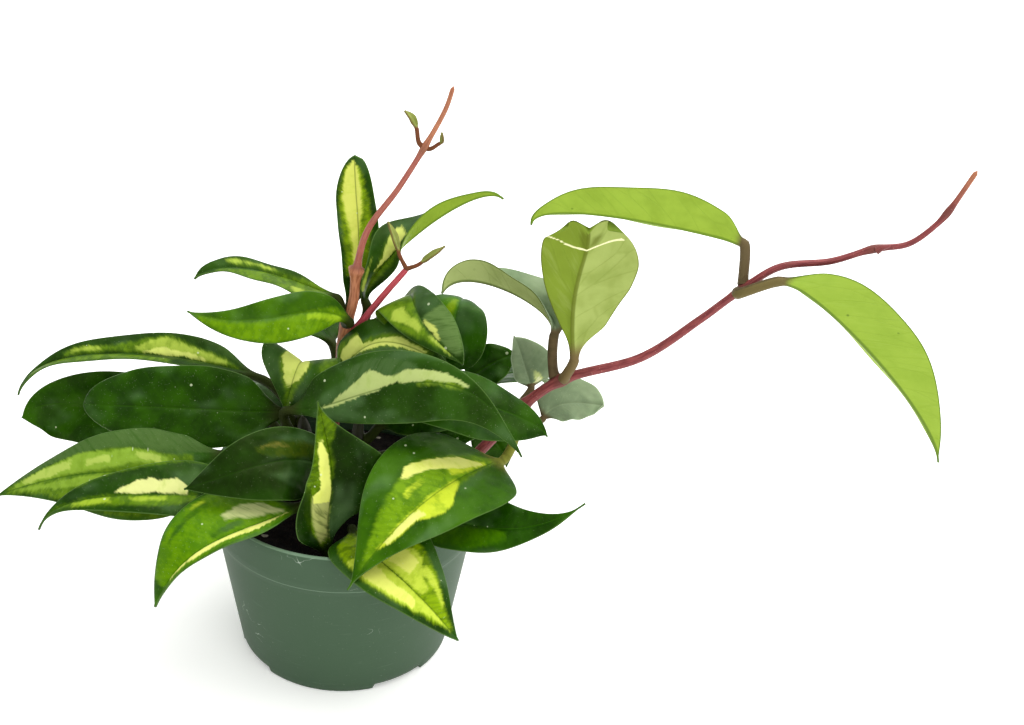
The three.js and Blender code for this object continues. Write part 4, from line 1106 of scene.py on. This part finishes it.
def leaf_skin(leaf, bands, seed, blade_rows=BLADE_ROWS):
    """A leaf as one closed skin, stalk and blade, with what its finish reads on every point."""
    foot, way, normal, _ = (x[0] for x in blade_frame(leaf, np.array([0.0])))
    shares = np.linspace(0, 1, STALK_ROWS, endpoint=False)
    centres, ways = stalk_line(leaf, foot, way, shares)
    up = square_to(np.broadcast_to(normal, ways.shape), ways)
    side = np.cross(ways, up)
    share, angle, _ = section_columns()
    length = np.linalg.norm(centres[0] - foot)
    flare = 1 + STALK_FLARE * bell(shares * length, 0, STALK_FLARE_LENGTH)
    radius = (leaf.get("stalk", STALK_RADIUS) * flare)[:, None, None]
    stalk = centres[:, None] + radius * (
        np.cos(angle)[None, :, None] * side[:, None] + np.sin(angle)[None, :, None] * up[:, None])
    t = np.linspace(0, 1, blade_rows)
    blade, across, margin = blade_grid(leaf, t)
    rib = rib_line(leaf["rib"], t)[0]
    run = np.concatenate([[0], np.cumsum(np.linalg.norm(np.diff(rib, axis=0), axis=1))])
    columns = len(share)
    points, faces = closed_tube(np.concatenate([stalk, blade]))
    half = margin + np.abs(across)
    u = np.broadcast_to(share, across.shape)
    spread = {
        "across": (radius[..., 0] * np.cos(angle)[None], across),
        "along": (np.broadcast_to((shares[:, None] - 1) * length, (STALK_ROWS, columns)),
                  np.broadcast_to(run[:, None], across.shape)),
        "margin": (np.full((STALK_ROWS, columns), STALK_MARGIN), margin),
        "stalk": (np.ones((STALK_ROWS, columns)),
                  np.broadcast_to(1 - smoothstep(t, *STALK_COLOUR_ENDS)[:, None], across.shape)),
    }
    for kind, _, _ in PATCHES:
        depth = patch_field(bands.get(kind, ""), t[:, None], u, half, run[-1])
        spread[kind] = (np.full((STALK_ROWS, columns), NO_PATCH), depth)
    fields = {}
    for name, (low, high) in spread.items():
        values = np.concatenate([low, high])
        fields[name] = np.append(values.ravel(), [values[0].mean(), values[-1].mean()])
    fields["seed"] = np.full(len(points), float(seed))
    above = np.tile(np.arange(columns) < 2 * HALF_COLUMNS, STALK_ROWS + blade_rows - 1)
    finish = np.concatenate([np.where(above, 0, 1), np.zeros(2 * columns)])
    return points, faces, fields, finish


def make_leaf(name, leaf, seed):
    """One grown leaf in the place of its solid."""
    points, faces, fields, finish = leaf_skin(leaf, PATTERNS.get(name, {}), seed)
    finishes = [UPPER[face_of(name, UPPER_FACES, "dark")], UNDER[face_of(name, UNDER_FACES, "green")]]
    make_piece(name, points, faces, finishes, ["leaf_" + name], fields, finish)


# The youngest leaves: a pair at the end of the side shoot, and a leaf and a bud on the upright shoot.
SIDE_SHOOT_BUD = (20.1, 10, 162.9)
YOUNG_SEED = 3
YOUNG_LEAVES = {
    "side_shoot_leaves": [
        dict(rib="17 10 170, 16 10 174, 14.5 10 178, 12.8 10 181.5", root=SIDE_SHOOT_BUD,
             half=1.7, face=(0.8, -0.5, 0.2), stalk=0.75, wave=(0.1, 2, 0)),
        dict(rib="25.5 10 166, 28 10 168.5, 31 10 171, 34 10 173.5", root=SIDE_SHOOT_BUD,
             half=1.5, face=(-0.4, -0.5, 0.7), stalk=0.75, wave=(0.1, 2, 0)),
    ],
    "top_shoot_leaf": [
        dict(rib="22 11 218, 21 11 220.5, 19.5 11 222.5, 17.5 11 224", on=("upright_shoot", 211),
             half=1.7, face=(0.5, -0.5, 0.7), stalk=0.8, wave=(0.1, 2, 0)),
    ],
    "top_shoot_bud": [
        dict(rib="30.5 11 213, 31 11 214, 31 11 215.5, 31 11 217", on=("upright_shoot", 211),
             half=0.9, face=(-0.6, -0.7, 0.1), stalk=0.7, wave=(0, 1, 0)),
    ],
}


def make_young_leaves(name, leaves):
    """Tiny leaves that stand on the same spot, as one piece."""
    skins = [leaf_skin(leaf, {}, YOUNG_SEED, YOUNG_BLADE_ROWS) for leaf in leaves]
    points, faces, fields = joined([outward(skin[:3]) for skin in skins])
    finish = np.concatenate([skin[3] for skin in skins])
    finishes = [UPPER["young"], UNDER["young"]]
    make_piece(name + "_fine", points, faces, finishes, [name], fields, finish)


# ---------------------------------------------------------------- pot and potting mix


def pot_finish():
    """Matt moulded plastic: blue-green, with a fine orange-peel, faint scuffs, a little dust, a few
    pale hair scratches, and thin pale lines at the collar's foot and the lip that are painted highlights."""
    material, paint, shader = new_material("green pot plastic")
    noise, step, mix = paint.noise, paint.step, paint.mix
    place = paint.place()
    stretched = paint.node("Mapping", {"Vector": place, "Scale": (60.0, 60.0, 900.0)})[0]
    scuff = step(noise(stretched, 1.0, 4.0, 0.65), 0.62, 0.78)
    colour = mix(noise(place, 28.0, 3.0), rgb(52, 74, 53), rgb(60, 82, 60))
    colour = mix(scuff * 0.25, colour, rgb(118, 138, 118))
    colour = mix(step(noise(place, 1400.0, 2.0, 0.6), 0.70, 0.76, 0.0, 0.35), colour, rgb(150, 164, 146))
    hair = step(abs(noise(place, 160.0, 1.0) - 0.5), 0.006, 0.002)
    rare = step(noise(place, 55.0, 1.0), 0.66, 0.7)
    colour = mix(hair * rare * 0.7, colour, rgb(168, 182, 166))
    height = paint.node("SeparateXYZ", {0: place})["Z"]
    # painted highlights: thin pale lines along the collar's step and the lip
    for edge, width, strength in ((COLLAR_FOOT, 0.5, 0.3), (POT_HEIGHT, 0.7, 0.4)):
        painted_highlight = step(abs(height - edge * MM), width * MM, 0.4 * width * MM, 0.0, strength)
        colour = mix(painted_highlight, colour, rgb(140, 168, 140))
    fill(shader, {
        "Base Color": colour, "Roughness": scuff * 0.15 + 0.5, "Specular IOR Level": 0.14,
        "Normal": paint.bump(noise(place, 900.0), 0.25, 0.0001)})
    return material


def pot_profile():
    """The pot's outline from the centre of its underside, out and up the wall, over the lip and down
    inside to the middle of the floor."""
    corners = [
        (0.01, 0), (CENTRE_PAD_RADIUS - 0.4, 0), (CENTRE_PAD_RADIUS, 0.3),
        (CENTRE_PAD_RADIUS + 1, FOOT_HEIGHT),
        (FOOT_RING_INNER - 1, FOOT_HEIGHT), (FOOT_RING_INNER - 0.2, 0.3), (FOOT_RING_INNER + 0.3, 0),
        (BASE_RADIUS - 1.2, 0), (BASE_RADIUS - 0.5, 0.25), (BASE_RADIUS, 1),
        (WALL_TOP_RADIUS, COLLAR_FOOT - 0.8), (WALL_TOP_RADIUS + 0.3, COLLAR_FOOT - 0.5),
        (COLLAR_FOOT_RADIUS - 0.3, COLLAR_FOOT - 0.2), (COLLAR_FOOT_RADIUS, COLLAR_FOOT + 0.2),
        (RIM_RADIUS, POT_HEIGHT - 0.9), (RIM_RADIUS - 0.15, POT_HEIGHT - 0.35),
        (RIM_RADIUS - 0.6, POT_HEIGHT),
        (RIM_RADIUS - WALL + 0.3, POT_HEIGHT), (RIM_RADIUS - WALL, POT_HEIGHT - 0.3),
        (COLLAR_FOOT_RADIUS - WALL, COLLAR_FOOT), (WALL_TOP_RADIUS - WALL, COLLAR_FOOT - 2),
        (BASE_RADIUS - WALL, FOOT_HEIGHT + 3), (BASE_RADIUS - WALL - 2, FOOT_HEIGHT + 2),
        (0.01, FOOT_HEIGHT + 2),
    ]
    corners = np.array(corners, float)
    steps = np.maximum(1, np.linalg.norm(np.diff(corners, axis=0), axis=1) // 3).astype(int)
    at = np.concatenate([i + np.arange(n) / n for i, n in enumerate(steps)] + [[len(corners) - 1]])
    index = np.arange(len(corners))
    return np.stack([np.interp(at, index, corners[:, 0]), np.interp(at, index, corners[:, 1])], -1)


def make_pot():
    """The outline turned round Z. Where a drainage notch crosses the foot, the underside rises to the
    foot's height: z is the larger of the outline and the foot height times the notch's own step."""
    profile = pot_profile()
    turn = np.linspace(0, 2 * math.pi, POT_SIDES, endpoint=False)
    radius = profile[:, 0][:, None] * np.ones_like(turn)[None]
    z = profile[:, 1][:, None] * np.ones_like(turn)[None]
    for angle in NOTCH_ANGLES:
        off = (turn - math.radians(angle) + math.pi) % (2 * math.pi) - math.pi
        aside = np.abs(radius * np.sin(off[None]))
        notch = smoothstep(-aside, -NOTCH_WIDTH / 2 - 0.3, -NOTCH_WIDTH / 2 + 0.3)
        notch = notch * (np.abs(off[None]) < 1)
        foot = (radius > FOOT_RING_INNER - 1.5) & (radius < BASE_RADIUS + 1) & (z < FOOT_HEIGHT)
        z = np.where(foot, np.maximum(z, FOOT_HEIGHT * notch), z)
    grid = np.stack([radius * np.cos(turn), radius * np.sin(turn), z], -1)
    points, faces = closed_tube(grid)
    make_piece("nursery_pot", points, faces, [pot_finish()], ["pot"])


def soil_finish():
    """Dark peat, darkened nearly to black as painted shade under the leaves: fibres and crumbs from
    nearly black to brown, with a few pale perlite grains.
    """
    material, paint, shader = new_material("potting mix")
    step, mix = paint.step, paint.mix
    place = paint.place()
    crumbs = paint.noise(place, 420.0, 4.0, 0.7)
    patches = paint.noise(place, 60.0)
    # painted shade: the peat's browns are darkened nearly to black
    colour = mix(step(crumbs, 0.35, 0.75), rgb(3, 2, 2), rgb(20, 14, 9))
    colour = mix(step(patches, 0.5, 0.75, 0.0, 0.5), colour, rgb(12, 9, 6))
    distance, chance = paint.cells(place, 260.0)
    grain = step(distance, 0.42, 0.34) * step(chance[0], 0.95, 0.96)
    colour = mix(grain, colour, mix(crumbs, rgb(60, 56, 48), rgb(168, 162, 148)))
    fill(shader, {
        "Base Color": colour, "Roughness": 0.95, "Specular IOR Level": 0.1,
        "Normal": paint.bump(crumbs + grain, 0.8, 0.0012)})
    return material


def soil_top(x, y):
    """Height of the mix: a low heap, SOIL_LEVEL + 2.5 cos(pi r / 110) - 1, with slow lumps and fine
    ones."""
    r = np.hypot(x, y)
    inner = 1 - np.minimum(1, r / 49) ** 4
    lump = np.sin(0.31 * x + 1) * np.cos(0.27 * y - 0.5) + 0.6 * np.sin(0.55 * y + 0.4 * x)
    fine = (0.35 * np.sin(1.7 * x + 0.6 * y) * np.sin(1.3 * y - 0.9 * x)
            + 0.2 * np.sin(3.1 * x - 2.3 * y + 1))
    return SOIL_LEVEL + 2.5 * np.cos(np.pi * r / 110) - 1 + inner * (lump + fine)


def make_soil():
    """The mix is a plug: its top is the heap on a polar grid, and its side follows the pot's wall."""
    turn = np.linspace(0, 2 * math.pi, SOIL_SIDES, endpoint=False)
    top_r = np.linspace(0.01, SOIL_RADIUS, 46)
    x = top_r[:, None] * np.cos(turn)
    y = top_r[:, None] * np.sin(turn)
    top = np.stack([x, y, soil_top(x, y)], -1)
    side = [(49.6, 60), (49.5, 56.6), (40.9, 6.4), (38.4, 4.9), (0.01, 4.9)]
    rings = [np.stack([r * np.cos(turn), r * np.sin(turn), np.full_like(turn, z)], -1) for r, z in side]
    points, faces = closed_tube(np.concatenate([top, np.array(rings)]))
    make_piece("potting_mix", points, faces, [soil_finish()], ["soil"])


# ---------------------------------------------------------------- stage


def add_object(name, data):
    """Puts a mesh, light or camera into the scene."""
    made = bpy.data.objects.new(name, data)
    bpy.context.scene.collection.objects.link(made)
    return made


def turned(across, up, back, place):
    """A placement from its three axes and its place."""
    return Matrix(np.vstack([np.column_stack([across, up, back, place]), [0, 0, 0, 1]]).tolist())


def make_stage():
    """A white floor, a white surround and soft studio lights."""
    size = 4.0
    mesh = bpy.data.meshes.new("floor")
    corners = [(-size, -size, 0), (size, -size, 0), (size, size, 0), (-size, size, 0)]
    mesh.from_pydata(corners, [], [(0, 1, 2, 3)])
    material, _, shader = new_material("pale floor")
    fill(shader, {"Base Color": (0.93, 0.93, 0.92, 1), "Roughness": 0.8,
                  "Emission Color": (1, 1, 0.98, 1), "Emission Strength": FLOOR_GLOW})
    mesh.materials.append(material)
    floor = add_object("floor", mesh)
    floor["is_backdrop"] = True
    world = bpy.data.worlds.new("white surround")
    world.use_nodes = True
    fill(world.node_tree.nodes["Background"].inputs, {"Color": (1, 1, 1, 1), "Strength": 1.0})
    bpy.context.scene.world = world
    for name, place, aim, width, power in (
        ("overhead softbox", (0.4, 0.25, 1.2), (0, 0, 0.1), 1.4, 20.0),
        ("front fill", (0.9, -1.1, 0.8), (0, 0, 0.1), 1.0, 5.0),
    ):
        data = bpy.data.lights.new(name, "AREA")
        data.size = width
        data.energy = power
        back = unit(np.array(place) - np.array(aim))
        across = unit(np.cross([0, 0, 1], back))
        add_object(name, data).matrix_world = turned(across, np.cross(back, across), back, place)


def make_camera():
    """The photograph's camera: it looks along +Y, pitched down, and rolled a little."""
    right = np.array([1.0, 0, 0])
    ahead = np.array([0, math.cos(PITCH), -math.sin(PITCH)])
    up = np.cross(right, ahead)
    across = math.cos(ROLL) * right + math.sin(ROLL) * up
    upward = -math.sin(ROLL) * right + math.cos(ROLL) * up
    data = bpy.data.cameras.new("photo camera")
    data.lens = LENS
    data.sensor_width = 36
    data.clip_start = 0.01
    camera = add_object("photo camera", data)
    camera.matrix_world = turned(across, upward, -ahead, np.array(CAMERA_PLACE) * MM)
    bpy.context.scene.camera = camera


make_pot()
make_soil()
for name, stem in STEMS.items():
    make_stem(name, stem)
for number, (name, leaf) in enumerate(LEAVES.items()):
    make_leaf(name, leaf, number)
for name, leaves in YOUNG_LEAVES.items():
    make_young_leaves(name, leaves)
make_stage()
make_camera()
bpy.context.scene.view_settings.view_transform = "Standard"

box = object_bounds()
{"solids": [list(SOLID_BOX[0]), list(SOLID_BOX[1])], "visual": [list(box[0]), list(box[1])]}
